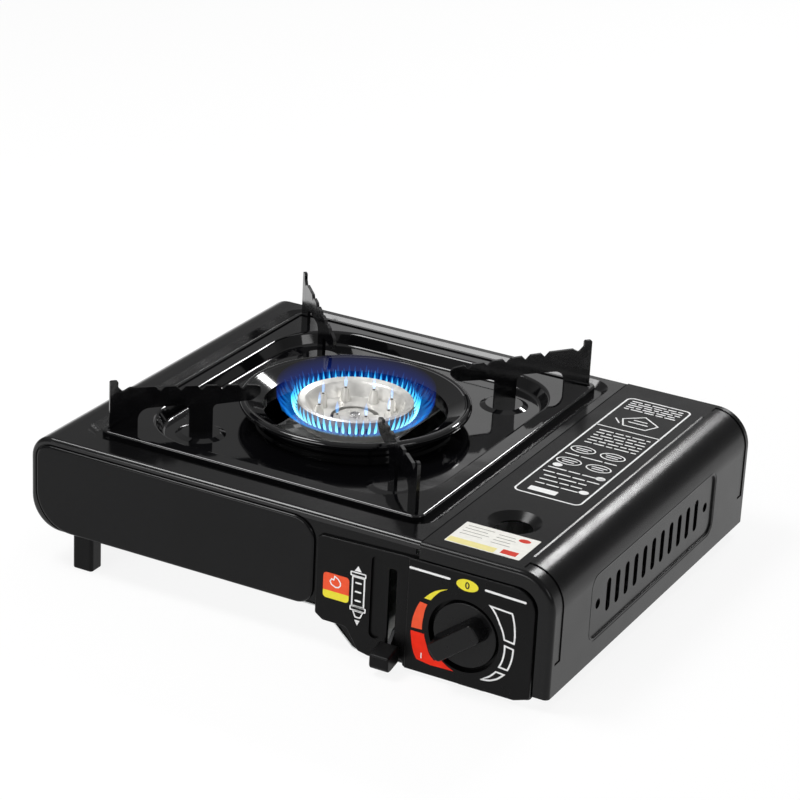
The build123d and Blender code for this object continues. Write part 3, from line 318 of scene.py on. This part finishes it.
def oiled_steel():
    s = Shader("oiled_steel", (0.05, 0.05, 0.052), 0.9)
    s.roughness(s.noise(300, 2, (1, 1, 0.1)), 0.28, 0.42).shade(s.noise(80), 0.8, 1.2)
    return s.mat


def galvanized():
    """Zinc spangle, each crystal with its own grey and gloss."""
    s = Shader("galvanized", (0.56, 0.57, 0.57), 1.0)
    spangle = s.node("ShaderNodeTexVoronoi", Scale=170.0)
    s.link(s.coords, spangle.inputs["Vector"])
    crystal = s.node("ShaderNodeSeparateColor")
    s.link(spangle.outputs["Color"], crystal.inputs["Color"])
    s.shade(crystal.outputs["Red"], 0.84, 1.12).roughness(crystal.outputs["Green"], 0.3, 0.46)
    return s.mat


def zinc_casting():
    s = Shader("zinc_casting", (0.50, 0.50, 0.51), 0.9)
    s.roughness(s.noise(200, 3), 0.44, 0.6).shade(s.noise(90, 3), 0.88, 1.08)
    s.bump(s.noise(1100, 3), 0.0001, 0.4)
    return s.mat


def brass():
    s = Shader("brass", (0.75, 0.55, 0.25), 1.0)
    s.roughness(s.noise(300, 2, (1, 0.1, 0.1)), 0.2, 0.32).shade(s.noise(60), 0.9, 1.05)
    return s.mat


def ceramic():
    s = Shader("ceramic", (0.86, 0.84, 0.79))
    s.roughness(s.noise(100), 0.15, 0.26).shade(s.noise(70), 0.95, 1.0)
    return s.mat


def rubber():
    s = Shader("rubber", (0.016, 0.016, 0.016))
    s.roughness(s.noise(120), 0.62, 0.78).bump(s.noise(1800, 2), 0.00008, 0.4)
    return s.mat


def ink(name, color, low, high):
    s = Shader(name, color, specular=0.15)
    s.shade(s.noise(300), 0.95, 1.03).roughness(s.noise(500), low, high)
    return s.mat


# Specular level, least and greatest roughness
PAINTS = {
    "black_paint": (0.17, 0.13, 0.19),
    "cover_paint": (0.4, 0.12, 0.17),
    "lid_paint": (0.22, 0.22, 0.27),
}

# Colour, least and greatest roughness
INKS = {
    "white_ink": ((0.86, 0.86, 0.86), 0.44, 0.56),
    "yellow_ink": ((0.87, 0.76, 0.05), 0.44, 0.56),
    "red_ink": ((0.90, 0.025, 0.006), 0.44, 0.56),
    "light_red_ink": ((0.88, 0.10, 0.035), 0.44, 0.56),
    # the dark ink is print, and also paints the shade in the jet holes of the burner head
    "dark_ink_and_port_shade": ((0.03, 0.025, 0.02), 0.44, 0.56),
    "label_white": ((0.84, 0.83, 0.78), 0.34, 0.46),
    "label_yellow": ((0.82, 0.74, 0.33), 0.34, 0.46),
    "label_red": ((0.62, 0.05, 0.03), 0.34, 0.46),
}


def make_materials():
    mats = {name: paint(name, *values) for name, values in PAINTS.items()}
    mats |= {
        "black_enamel": black_enamel(),
        "support_enamel": support_enamel(),
        "black_plastic": black_plastic(),
        "knob_plastic": knob_plastic(),
        "white_plastic": white_plastic(),
        "cast_aluminium": cast_aluminium(),
        "steel": steel(),
        "oiled_steel": oiled_steel(),
        "galvanized": galvanized(),
        "zinc_casting": zinc_casting(),
        "brass": brass(),
        "ceramic": ceramic(),
        "rubber": rubber(),
    }
    mats |= {name: ink(name, *values) for name, values in INKS.items()}
    return mats


NODE_MATERIALS = {
    "black_paint": ("front_panel", "rear_panel"),
    "cover_paint": ("top_shell",),
    "lid_paint": ("lid_cover",),
    "black_enamel": ("drip_plate", "pan_ring"),
    "support_enamel": ("pan_support_1", "pan_support_2", "pan_support_3", "pan_support_4"),
    "black_plastic": ("fascia", "lever_grip", "piezo_igniter", "front_left_foot",
                      "rear_left_foot"),
    "knob_plastic": ("knob",),
    "white_plastic": ("igniter_cam",),
    "cast_aluminium": ("burner_head", "burner_cup", "mixing_tube"),
    "steel": ("knob_shaft", "drive_pin", "lever_pivot", "pusher_strip", "pusher_plate",
              "strip_guides", "case_screws", "hub_screw", "air_shutter", "gas_pipe",
              "electrode_tip"),
    "oiled_steel": ("lever_arm",),
    "galvanized": ("bottom_tray", "bay_wall", "hinge_brackets", "lid_lugs",
                   "regulator_bulkhead", "burner_bridge"),
    "zinc_casting": ("cartridge_socket", "regulator_body", "diaphragm_cover", "valve_body"),
    "brass": ("jet_holder",),
    "ceramic": ("electrode",),
    "rubber": ("bay_pads", "socket_seal"),
}


def dress_nodes(mats):
    for material, names in NODE_MATERIALS.items():
        for name in names:
            slots = nodes[name].material_slots
            if not slots:
                nodes[name].data.materials.append(mats[material])
            for slot in slots:
                slot.material = mats[material]


# ---- Objects ----
def new_object(name, mesh, material):
    mesh.materials.append(material)
    obj = bpy.data.objects.new(name, mesh)
    bpy.context.scene.collection.objects.link(obj)
    return obj


def new_piece(name, mesh, material, body):
    """A mesh that rides on a body, with its material."""
    obj = new_object(name, mesh, material)
    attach(obj, body)


def burner_axis():
    low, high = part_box("burner_head")
    return (low.x + high.x) / 2 / MM, (low.y + high.y) / 2 / MM


# ---- Outlines ----
def polar(centre, r, angle):
    """The point at a radius and an angle in radians round a centre."""
    return centre[0] + r * math.cos(angle), centre[1] + r * math.sin(angle)


def half_turn(start, steps=6):
    """Angles in radians over half a circle, from a start in degrees."""
    return [math.radians(start + 180 * k / steps) for k in range(steps + 1)]


def ellipse(cx, cy, rx, ry, steps=48):
    angles = [math.tau * k / steps for k in range(steps)]
    return [(cx + rx * math.cos(a), cy + ry * math.sin(a)) for a in angles]


def circle(centre, r, steps):
    return ellipse(*centre, r, r, steps)


def round_box(x0, x1, y0, y1, r, steps=6):
    corners = (((x1 - r, y1 - r), 0), ((x0 + r, y1 - r), 90), ((x0 + r, y0 + r), 180),
               ((x1 - r, y0 + r), 270))
    return [polar(centre, r, math.radians(start + 90 * k / steps))
            for centre, start in corners for k in range(steps + 1)]


def polar_run(knots, centre, steps=8):
    """Points along a curve given as knots of radius and degrees, even in angle."""
    pts = []
    for (r0, a0), (r1, a1) in zip(knots, knots[1:]):
        for k in range(steps):
            t = k / steps
            pts.append(polar(centre, r0 + (r1 - r0) * t, math.radians(a0 + (a1 - a0) * t)))
    r, a = knots[-1]
    pts.append(polar(centre, r, math.radians(a)))
    return pts


def signed_area(loop):
    """Twice the area of a closed outline, positive where it runs anticlockwise."""
    return sum(loop[i - 1][0] * loop[i][1] - loop[i][0] * loop[i - 1][1]
               for i in range(len(loop)))


def offset(points, out):
    """The closed outline moved outwards, with mitred corners."""
    way = 1 if signed_area(points) > 0 else -1
    moved = []
    for i, here in enumerate(points):
        q = Vector(here)
        d1 = (q - Vector(points[i - 1])).normalized()
        d2 = (Vector(points[(i + 1) % len(points)]) - q).normalized()
        normals = Vector((d1.y + d2.y, -d1.x - d2.x)) * way
        reach = 2 / normals.length if normals.length > SHARP else SHARP_REACH
        moved.append(tuple(q + normals.normalized() * out * reach))
    return moved


# ---- Flat prints ----
# A drawing plane, and the body and the material slot of what is drawn on it
Ground = namedtuple("Ground", "place body slot")


def front_ground(y):
    """The fascia as drawing plane: X and Z, facing the front."""
    place = Matrix(((MM, 0, 0, 0), (0, 0, -MM, y * MM), (0, MM, 0, 0), (0, 0, 0, 1)))
    return Ground(place, "case", "black_plastic")


def top_ground(z, body, slot, back=0.0):
    """A level as drawing plane: X and Y, facing up, with what is drawn moved back."""
    place = Matrix(((MM, 0, 0, 0), (0, MM, 0, back * MM), (0, 0, MM, z * MM), (0, 0, 0, 1)))
    return Ground(place, body, slot)


class Print:
    """A thin layer on a ground, one closed solid for each shape."""

    def __init__(self, name, material, ground, thick=INK):
        self.name = name
        self.material = material
        self.ground = ground
        self.thick = thick
        self.verts = []
        self.faces = []

    def shape(self, points, holes=()):
        """A filled outline with holes in it."""
        loops = [points, *holes]
        flat = [p for loop in loops for p in loop]
        start = len(self.verts)
        for level in (0.0, self.thick):
            self.verts += [(x, y, level) for x, y in flat]
        self.add_caps(loops, flat, start)
        for number, loop in enumerate(loops):
            outward = (signed_area(loop) > 0) == (number == 0)
            self.add_wall(start, len(loop), len(flat), outward)
            start += len(loop)

    def add_caps(self, loops, flat, start):
        top = start + len(flat)
        cells = tessellate_polygon([[Vector((x, y, 0)) for x, y in loop] for loop in loops])
        for a, b, c in cells:
            if signed_area([flat[a], flat[b], flat[c]]) < 0:
                b, c = c, b
            self.faces.append((top + a, top + b, top + c))
            self.faces.append((start + a, start + c, start + b))

    def add_wall(self, start, size, up, outward):
        for i in range(size):
            a = start + i
            b = start + (i + 1) % size
            quad = (a, b, b + up, a + up)
            self.faces.append(quad if outward else quad[::-1])

    def stroke(self, points, width):
        """A closed outline drawn with a pen of that width."""
        self.shape(offset(points, width / 2), [offset(points, -width / 2)])

    def bar(self, a, b, width):
        """A straight pen stroke with round ends."""
        way = math.atan2(b[1] - a[1], b[0] - a[0])
        far = [polar(b, width / 2, way + t) for t in half_turn(-90)]
        near = [polar(a, width / 2, way + t) for t in half_turn(90)]
        self.shape(far + near)

    def words(self, span, rows, width, sizes):
        """Rows of bars in place of lettering, each row starting one word further on."""
        x0, x1 = span
        for k, y in enumerate(rows):
            turn = k % len(sizes)
            x = x0
            for size in sizes[turn:] + sizes[:turn]:
                end = min(x + size, x1)
                if end - x > width:
                    self.bar((x + width / 2, y), (end - width / 2, y), width)
                x = end + WORD_GAP
                if x > x1 - WORD_LEAST:
                    break

    def build(self):
        mesh = bpy.data.meshes.new(self.name)
        mesh.from_pydata([self.ground.place @ Vector(v) for v in self.verts], [], self.faces)
        mesh.validate()
        new_piece(self.name, mesh, self.material, self.ground.body)


def evenly(first, last, count):
    return [first + (last - first) * k / (count - 1) for k in range(count)]


def digit(name, text, centre, size, material, ground):
    """A plain numeral as a thin solid."""
    curve = bpy.data.curves.new(name, "FONT")
    curve.body = text
    curve.size = size
    curve.extrude = DIGIT_HALF
    curve.offset = DIGIT_BOLD
    temp = bpy.data.objects.new(name + "_curve", curve)
    bpy.context.scene.collection.objects.link(temp)
    bpy.context.view_layer.update()
    mesh = bpy.data.meshes.new_from_object(temp)
    bpy.data.objects.remove(temp)
    xs = [v.co.x for v in mesh.vertices]
    ys = [v.co.y for v in mesh.vertices]
    middle = Vector(((max(xs) + min(xs)) / 2, (max(ys) + min(ys)) / 2, 0))
    for v in mesh.vertices:
        v.co = ground.place @ (v.co - middle + Vector((*centre, DIGIT_RISE)))
    mesh.materials.clear()
    new_piece(name, mesh, material, ground.body)


def dial_field(outer, inner, steps=8, between=()):
    """A field of the dial, from knots of radius and degrees round the knob and points between."""
    return [*polar_run(outer, KNOB_AXIS, steps), *between, *polar_run(inner, KNOB_AXIS, steps)]


def dial_steps(mats, ground):
    """The outlined steps right of the knob, and a bar on each side of the off field."""
    white = Print("dial_marks_white", mats["white_ink"], ground)
    white.bar((83.3, 64.7), (107.3, 64.4), 1.35)
    white.bar((129.6, 63.6), (153.4, 62.8), 1.35)
    white.stroke(dial_field([(35.8, 37.7), (33.2, 23.8), (30.8, 8.0)],
                            [(25.2, 11.7), (25.4, 32.8), (27.4, 56.0)]), 1.0)
    white.stroke(dial_field([(30.3, 1.3), (30.4, -24.5)],
                            [(25.6, -28.4), (25.2, 3.6)]), 1.0)
    white.stroke(dial_field([(30.3, -31.8), (29.4, -42.1), (28.1, -50.9), (25.8, -61.6)],
                            [(26.0, -49.7), (26.0, -36.7)]), 1.0)
    white.build()


def dial_scale(mats, ground):
    """The off field over the knob, and the flame scale left of it from yellow to red."""
    yellow = Print("dial_marks_yellow", mats["yellow_ink"], ground)
    yellow.shape(ellipse(*OFF_SPOT, 6.7, 3.5))
    yellow.shape(dial_field([(27.7, 113.4), (29.0, 129.0), (29.8, 146.9)],
                            [(26.4, 142.6), (26.9, 132.4), (27.6, 123.8)]))
    yellow.build()

    light = Print("dial_marks_light_red", mats["light_red_ink"], ground)
    light.shape(dial_field([(30.5, 153.7), (31.0, 168.4), (32.2, 186.2)],
                           [(25.6, 187.2), (25.3, 169.3), (26.3, 150.6)]))
    light.build()

    red = Print("dial_marks_red", mats["red_ink"], ground)
    foot = [(98.4, 9.0), (113.0, 9.4), (108.9, 11.3), (104.7, 13.9), (100.7, 12.4)]
    red.shape(dial_field([(32.7, 189.5), (33.5, 199.9), (35.1, 211.6), (35.5, 218.5)],
                         [(26.2, 221.0), (24.9, 206.8), (24.6, 192.9)], 4, foot))
    red.build()


def dial_prints(mats):
    """All that is printed round the knob."""
    ground = front_ground(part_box("fascia")[0].y / MM)
    dial_steps(mats, ground)
    dial_scale(mats, ground)
    digit("dial_zero", "0", OFF_SPOT, 5.6, mats["dark_ink_and_port_shade"], ground)
    digit("dial_one", "1", LIT_SPOT, 4.6, mats["white_ink"], ground)


def lock_prints(mats):
    """Plain sticker and the cartridge sign left of the lever."""
    ground = front_ground(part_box("fascia")[0].y / MM + LEVER_SIDE_STEP)
    left, right = STICKER_BOX[:2]
    edge = round_box(*STICKER_BOX, STICKER_R)
    red = Print("sign_red", mats["light_red_ink"], ground, STICKER)
    red.shape([(left, STICKER_SPLIT), (right, STICKER_SPLIT)]
              + [p for p in edge if p[1] > STICKER_SPLIT])
    red.build()
    yellow = Print("sign_yellow", mats["yellow_ink"], ground, STICKER)
    yellow.shape([(right, STICKER_SPLIT), (left, STICKER_SPLIT)]
                 + [p for p in edge if p[1] < STICKER_SPLIT])
    yellow.build()

    white = Print("sign_white", mats["white_ink"], ground, STICKER_INK)
    flame_sign = [(36.9, 39.0), (34.2, 40.2), (33.3, 42.0), (34.3, 43.6), (35.6, 43.2),
                  (36.2, 45.6), (38.4, 44.4), (39.9, 42.4), (39.9, 40.6), (38.7, 39.3)]
    white.stroke(flame_sign, 0.75)
    draw_cartridge(white)
    white.build()


def draw_cartridge(white):
    """A cartridge on end between two arrows, with plain bars on it."""
    white.shape([(48.5, 52.6), (52.9, 52.6), (50.7, 55.9)])
    white.shape([(53.0, 22.6), (49.6, 22.6), (51.4, 19.4)])
    white.stroke(round_box(46.3, 55.6, 49.6, 51.7, 0.4, 3), 0.75)
    white.stroke([(47.5, 31.0), (55.0, 31.0), (55.0, 49.0), (47.5, 49.0)], 0.9)
    white.stroke(round_box(46.6, 56.1, 28.4, 30.7, 0.4, 3), 0.75)
    white.stroke([(50.0, 24.4), (53.0, 24.4), (54.7, 28.0), (48.4, 28.0)], 0.75)
    for z in (34.5, 40.0, 45.5):
        white.bar((49.7, z), (52.8, z), 1.0)


def lid_prints(mats):
    """Printed frame with plain bars and signs in it, and the bare label in front of it."""
    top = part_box("lid_cover")[1].z / MM
    ground = top_ground(top, "lid", "black_paint", LID_PRINT_BACK)
    white = Print("lid_marks", mats["white_ink"], ground)
    white.stroke(round_box(97.9, 139.4, -45.2, 115.0, 4.0), 1.1)
    white.bar((98.0, 66.5), (139.2, 66.5), 0.9)
    white.words((101.5, 136.0), evenly(111.0, 98.5, 5), 1.15, WORDS)
    white.words((103.0, 136.5), evenly(60.0, 39.0, 6), 1.1, WORDS[2:] + WORDS[:2])
    draw_rings(white)
    white.words((100.8, 134.0), [17.5], 1.0, (9.0, 14.0, 12.0))
    white.words((100.8, 136.5), evenly(-5.5, -12.0, 2), 1.1, (12.0, 7.5, 9.0, 8.0))
    for x, y in ((104.5, -0.5), (134.0, -5.0), (134.0, -27.5)):
        white.shape(ellipse(x, y, 3.0, 2.5, 24))
    white.words((104.0, 131.0), evenly(-17.5, -29.0, 3), 1.1, (8.0, 11.5, 6.0))
    white.shape(round_box(104.5, 122.0, -40.5, -35.0, 0.8, 3))
    draw_tent(white)
    white.build()
    label_prints(mats, ground)


def draw_rings(white):
    """Four rings with two bars in each."""
    for x, y in ((108.0, 27.0), (127.0, 27.0), (108.0, 7.5), (127.0, 7.5)):
        white.stroke(ellipse(x, y, 7.6, 4.6, 32), 0.8)
        white.bar((x - 4.6, y + 1.2), (x + 4.6, y + 1.2), 0.9)
        white.bar((x - 3.4, y - 1.4), (x + 3.4, y - 1.4), 0.9)


def draw_tent(white):
    """A five-sided outline with two bars in it and one beside it."""
    white.stroke([(112.0, 74.0), (126.5, 74.0), (131.0, 83.0), (119.0, 92.0), (108.0, 83.0)], 0.9)
    white.bar((104.0, 81.5), (108.5, 76.0), 0.9)
    white.bar((113.0, 80.5), (125.0, 80.5), 1.0)
    white.bar((115.0, 84.5), (123.0, 84.5), 1.0)


def label_prints(mats, ground):
    """The label in front of the frame, with plain bars and blocks of colour."""
    label = Print("lid_label", mats["label_white"], ground, LABEL)
    label.shape(round_box(96.6, 142.2, -126.4, -98.6, 0.6, 2))
    label.build()
    band = Print("lid_label_band", mats["label_yellow"], ground, LABEL_INK)
    band.shape(round_box(97.2, 126.0, -125.7, -119.8, 0.3, 2))
    band.build()
    red = Print("lid_label_red", mats["label_red"], ground, LABEL_INK)
    red.shape(ellipse(134.5, -103.6, 3.6, 2.2, 28))
    red.shape(round_box(129.0, 138.6, -123.8, -118.6, 0.3, 2))
    red.build()
    dark = Print("lid_label_marks", mats["dark_ink_and_port_shade"], ground, LABEL_INK)
    for k in range(4):
        y = -102.5 - 3.6 * k
        dark.bar((99.5, y), (115.5 - 2.5 * (k % 2), y), 0.35)
        dark.bar((119.0, y - 1.2), (129.0 + 1.5 * (k % 2), y - 1.2), 0.35)
    dark.build()


def painted_port_shade(mats):
    """Dark dots of painted shade in place of the jet hole in the tip of each post of the burner
    head.
    """
    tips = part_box("burner_head")[1].z / MM - POST_DROP
    # Painted shade: a dark disc where each jet hole would look dark
    dots = Print("painted_port_shade", mats["dark_ink_and_port_shade"], top_ground(tips, "case", "aluminium"), PORT_SHADE_DOT)
    axis = burner_axis()
    for k in range(POSTS):
        dots.shape(circle(polar(axis, POST_RING, math.tau * k / POSTS), JET_R, JET_SIDES))
    dots.build()


# ---- Rolled and pressed edges ----
def closed_ring(name, loops, material, body):
    """A ring skinned over closed loops of points, with the last loop joined to the first."""
    shape = bmesh.new()
    rows = [[shape.verts.new(Vector(p) * MM) for p in loop] for loop in loops]
    for i, row in enumerate(rows):
        before = rows[i - 1]
        for k in range(len(row)):
            shape.faces.new((before[k - 1], before[k], row[k], row[k - 1]))
    bmesh.ops.recalc_face_normals(shape, faces=shape.faces)
    mesh = bpy.data.meshes.new(name)
    shape.to_mesh(mesh)
    shape.free()
    mesh.shade_smooth()
    new_piece(name, mesh, material, body)


def ring_roll(mats):
    """The round hem that the brim of the ring is rolled into."""
    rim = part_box("pan_ring")[1]
    axis = burner_axis()
    outer = rim.x / MM - axis[0]
    profile = circle((outer - HEM_IN, rim.z / MM - HEM_DOWN), HEM_R, HEM_SIDES)
    loops = [[(*p, z) for p in circle(axis, r, HEM_STEPS)] for r, z in profile]
    closed_ring("ring_roll", loops, mats["black_enamel"], "pan_set")


def vent_bead(mats):
    """The rounded edge pressed round the vent field of the lid."""
    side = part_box("lid_cover")[1].x / MM
    y0, y1, z0, z1 = VENT_FIELD
    loops = []
    for x, grow in ellipse(side - BEAD_IN, BEAD_OUT, *BEAD_HALF, BEAD_SIDES):
        outline = round_box(y0 - grow, y1 + grow, z0 - grow, z1 + grow, VENT_R + grow)
        loops.append([(x, *p) for p in outline])
    closed_ring("vent_bead", loops, mats["lid_paint"], "lid")


# ---- Flame, shown for the lit position of the knob ----
def glow_material(name, stops, strength):
    """Light that only the camera sees, added over what is behind it and fading with height."""
    mat = bpy.data.materials.new(name)
    gas = Tree(mat)
    gas.tree.nodes.clear()
    seen = gas.node("ShaderNodeLightPath").outputs["Is Camera Ray"]
    glow = gas.node("ShaderNodeEmission")
    gas.link(gas.ramp(gas.height(), stops), glow.inputs["Color"])
    gas.link(gas.maths("MULTIPLY", seen, strength), glow.inputs["Strength"])
    add = gas.node("ShaderNodeAddShader")
    gas.link(gas.node("ShaderNodeBsdfTransparent").outputs[0], add.inputs[0])
    gas.link(glow.outputs[0], add.inputs[1])
    gas.link(add.outputs[0], gas.node("ShaderNodeOutputMaterial").inputs["Surface"])
    return mat


def staged(name, verts, faces, material):
    mesh = bpy.data.meshes.new(name)
    mesh.from_pydata([Vector(v) * MM for v in verts], [], faces)
    mesh.shade_smooth()
    obj = new_object(name, mesh, material)


def tongue(verts, faces, spine, widths, turn, axis):
    """One closed tongue of flame along a spine of radius and height, turned round the burner."""
    sides = TONGUE_SIDES
    start = len(verts)
    for (r, z), w in zip(spine, widths):
        for out, along in ellipse(r, 0, w * TONGUE_FLAT, w, sides):
            verts.append((axis[0] + out * math.cos(turn) - along * math.sin(turn),
                          axis[1] + out * math.sin(turn) + along * math.cos(turn), z))
    last = len(verts) - sides
    for row in range(start, last, sides):
        for k in range(sides):
            a = row + k
            b = row + (k + 1) % sides
            faces.append((a, b, b + sides, a + sides))
    faces.append(tuple(reversed(range(start, start + sides))))
    faces.append(tuple(range(last, last + sides)))


def wreath(name, count, spine, widths, material):
    """Tongues all round the burner, where spine(k) gives the knots of tongue k."""
    axis = burner_axis()
    verts = []
    faces = []
    for k in range(count):
        tongue(verts, faces, spine(k), widths, math.tau * k / count, axis)
    staged(name, verts, faces, material)


def flame_ring(rim, top):
    """Bright tongues at the ports round the head."""
    def spine(k):
        sway = 0.7 * math.sin(5.3 * k)
        return ((rim + 0.4, top - 8), (rim + 1.6, top - 7), (rim + 2.6, top - 4.5),
                (rim + 3.4, top - 1.5), (rim + 3.8 + sway, top + 2.4 + sway))

    colors = ((0.0, (0.3, 0.9, 1.0)), (0.4, (0.08, 0.55, 0.85)), (0.75, (0.02, 0.28, 0.6)),
              (1.0, (0.0, 0.1, 0.35)))
    widths = (0.45, 0.8, 0.9, 0.6, 0.1)
    wreath("flame_ring", TONGUES, spine, widths, glow_material("flame_ring", colors, 0.8))


def flame_streaks(rim, top):
    """Faint streaks that lean further out."""
    def spine(k):
        sway = 0.9 * math.sin(3.7 * k)
        return ((rim + 1.2, top - 8.5), (rim + 5.5, top - 7.2), (rim + 9.5 + sway, top - 3.5),
                (rim + 12.0 + sway, top + 1.5 + sway))

    colors = ((0.0, (0.03, 0.4, 0.8)), (0.5, (0.01, 0.2, 0.6)), (1.0, (0.0, 0.05, 0.35)))
    widths = (0.5, 1.2, 1.1, 0.15)
    wreath("flame_streaks", STREAKS, spine, widths, glow_material("flame_streaks", colors, 0.13))


def flame_jets(top):
    """One small tongue on the tip of each post."""
    def spine(_):
        return (POST_RING, top - 1.2), (POST_RING, top + 2.0), (POST_RING, top + 6.5)

    colors = ((0.0, (0.1, 0.4, 0.9)), (0.5, (0.05, 0.25, 0.7)), (1.0, (0.0, 0.02, 0.1)))
    widths = (0.7, 1.1, 0.15)
    wreath("flame_jets", POSTS, spine, widths, glow_material("flame_jets", colors, 0.5))


def flame_halo(rim, top):
    """A faint open shell of haze round the tongues."""
    shell = ((rim + 2, top - 7), (rim + 9, top - 5), (rim + 12.5, top + 1), (rim + 13, top + 9))
    colors = ((0.0, (0.0, 0.12, 0.9)), (0.45, (0.0, 0.05, 0.6)), (1.0, (0.0, 0.0, 0.05)))
    axis = burner_axis()
    rows = len(shell)
    verts = [(*polar(axis, r, math.tau * k / HALO_STEPS), z)
             for k in range(HALO_STEPS) for r, z in shell]
    faces = []
    for k in range(HALO_STEPS):
        here = k * rows
        there = (k + 1) % HALO_STEPS * rows
        faces += [(here + i, there + i, there + i + 1, here + i + 1) for i in range(rows - 1)]
    staged("flame_halo", verts, faces, glow_material("flame_halo", colors, 0.17))


def flame():
    """Tongues and streaks round the head, small tongues on the posts and a faint halo."""
    low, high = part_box("burner_head")
    rim = (high.x - low.x) / 2 / MM
    top = high.z / MM
    flame_ring(rim, top)
    flame_streaks(rim, top)
    flame_jets(top)
    flame_halo(rim, top)


# ---- Studio ----
def seen_rays(tree):
    """1 for the rays that show the background: camera, glossy and transmission rays."""
    path = tree.node("ShaderNodeLightPath")
    total = path.outputs["Is Camera Ray"]
    for name in ("Is Glossy Ray", "Is Transmission Ray"):
        total = tree.maths("MAXIMUM", total, path.outputs[name])
    return total


def room_light():
    """A plain room: pale at the horizon and overhead, and darker between them."""
    world = bpy.data.worlds.new("studio")
    bpy.context.scene.world = world
    sky = Tree(world)
    sky.tree.nodes.clear()
    room = sky.node("ShaderNodeBackground")
    greys = [(place, (grey, grey, grey)) for place, grey in ROOM]
    sky.link(sky.ramp(sky.height(), greys), room.inputs["Color"])
    sky.link(room.outputs[0], sky.node("ShaderNodeOutputWorld").inputs["Surface"])


def lamp(name, place, target, size, energy):
    data = bpy.data.lights.new(name, "AREA")
    data.shape = "RECTANGLE"
    data.size, data.size_y = size
    data.energy = energy
    obj = bpy.data.objects.new(name, data)
    bpy.context.scene.collection.objects.link(obj)
    obj.location = place
    obj.rotation_euler = (Vector(target) - Vector(place)).to_track_quat("-Z", "Y").to_euler()


def floor_white():
    """Matte white that also glows a little for the rays that show the background."""
    mat = bpy.data.materials.new("floor_white")
    sheet = Tree(mat)
    sheet.tree.nodes.clear()
    matte = sheet.node("ShaderNodeBsdfDiffuse", Color=(*FLOOR_COLOR, 1))
    glow = sheet.node("ShaderNodeEmission", Strength=FLOOR_GLOW)
    mix = sheet.node("ShaderNodeMixShader")
    sheet.link(sheet.maths("MULTIPLY", seen_rays(sheet), FLOOR_GLOW_SHARE), mix.inputs[0])
    sheet.link(matte.outputs[0], mix.inputs[1])
    sheet.link(glow.outputs[0], mix.inputs[2])
    sheet.link(mix.outputs[0], sheet.node("ShaderNodeOutputMaterial").inputs["Surface"])
    return mat


def white_floor():
    """The white sheet under and behind the object, which takes its shadow."""
    mesh = bpy.data.meshes.new("floor")
    r = FLOOR_HALF
    mesh.from_pydata([(-r, -r, 0), (r, -r, 0), (r, r, 0), (-r, r, 0)], [], [(0, 1, 2, 3)])
    floor = new_object("floor", mesh, floor_white())


def studio():
    room_light()
    for name, place, target, size, watts in LAMPS:
        lamp(name, place, target, size, watts)
    white_floor()
    bpy.context.scene.view_settings.view_transform = "Standard"


add_camera()
materials = make_materials()
dress_nodes(materials)
dial_prints(materials)
lock_prints(materials)
lid_prints(materials)
painted_port_shade(materials)
ring_roll(materials)
vent_bead(materials)
flame()
studio()
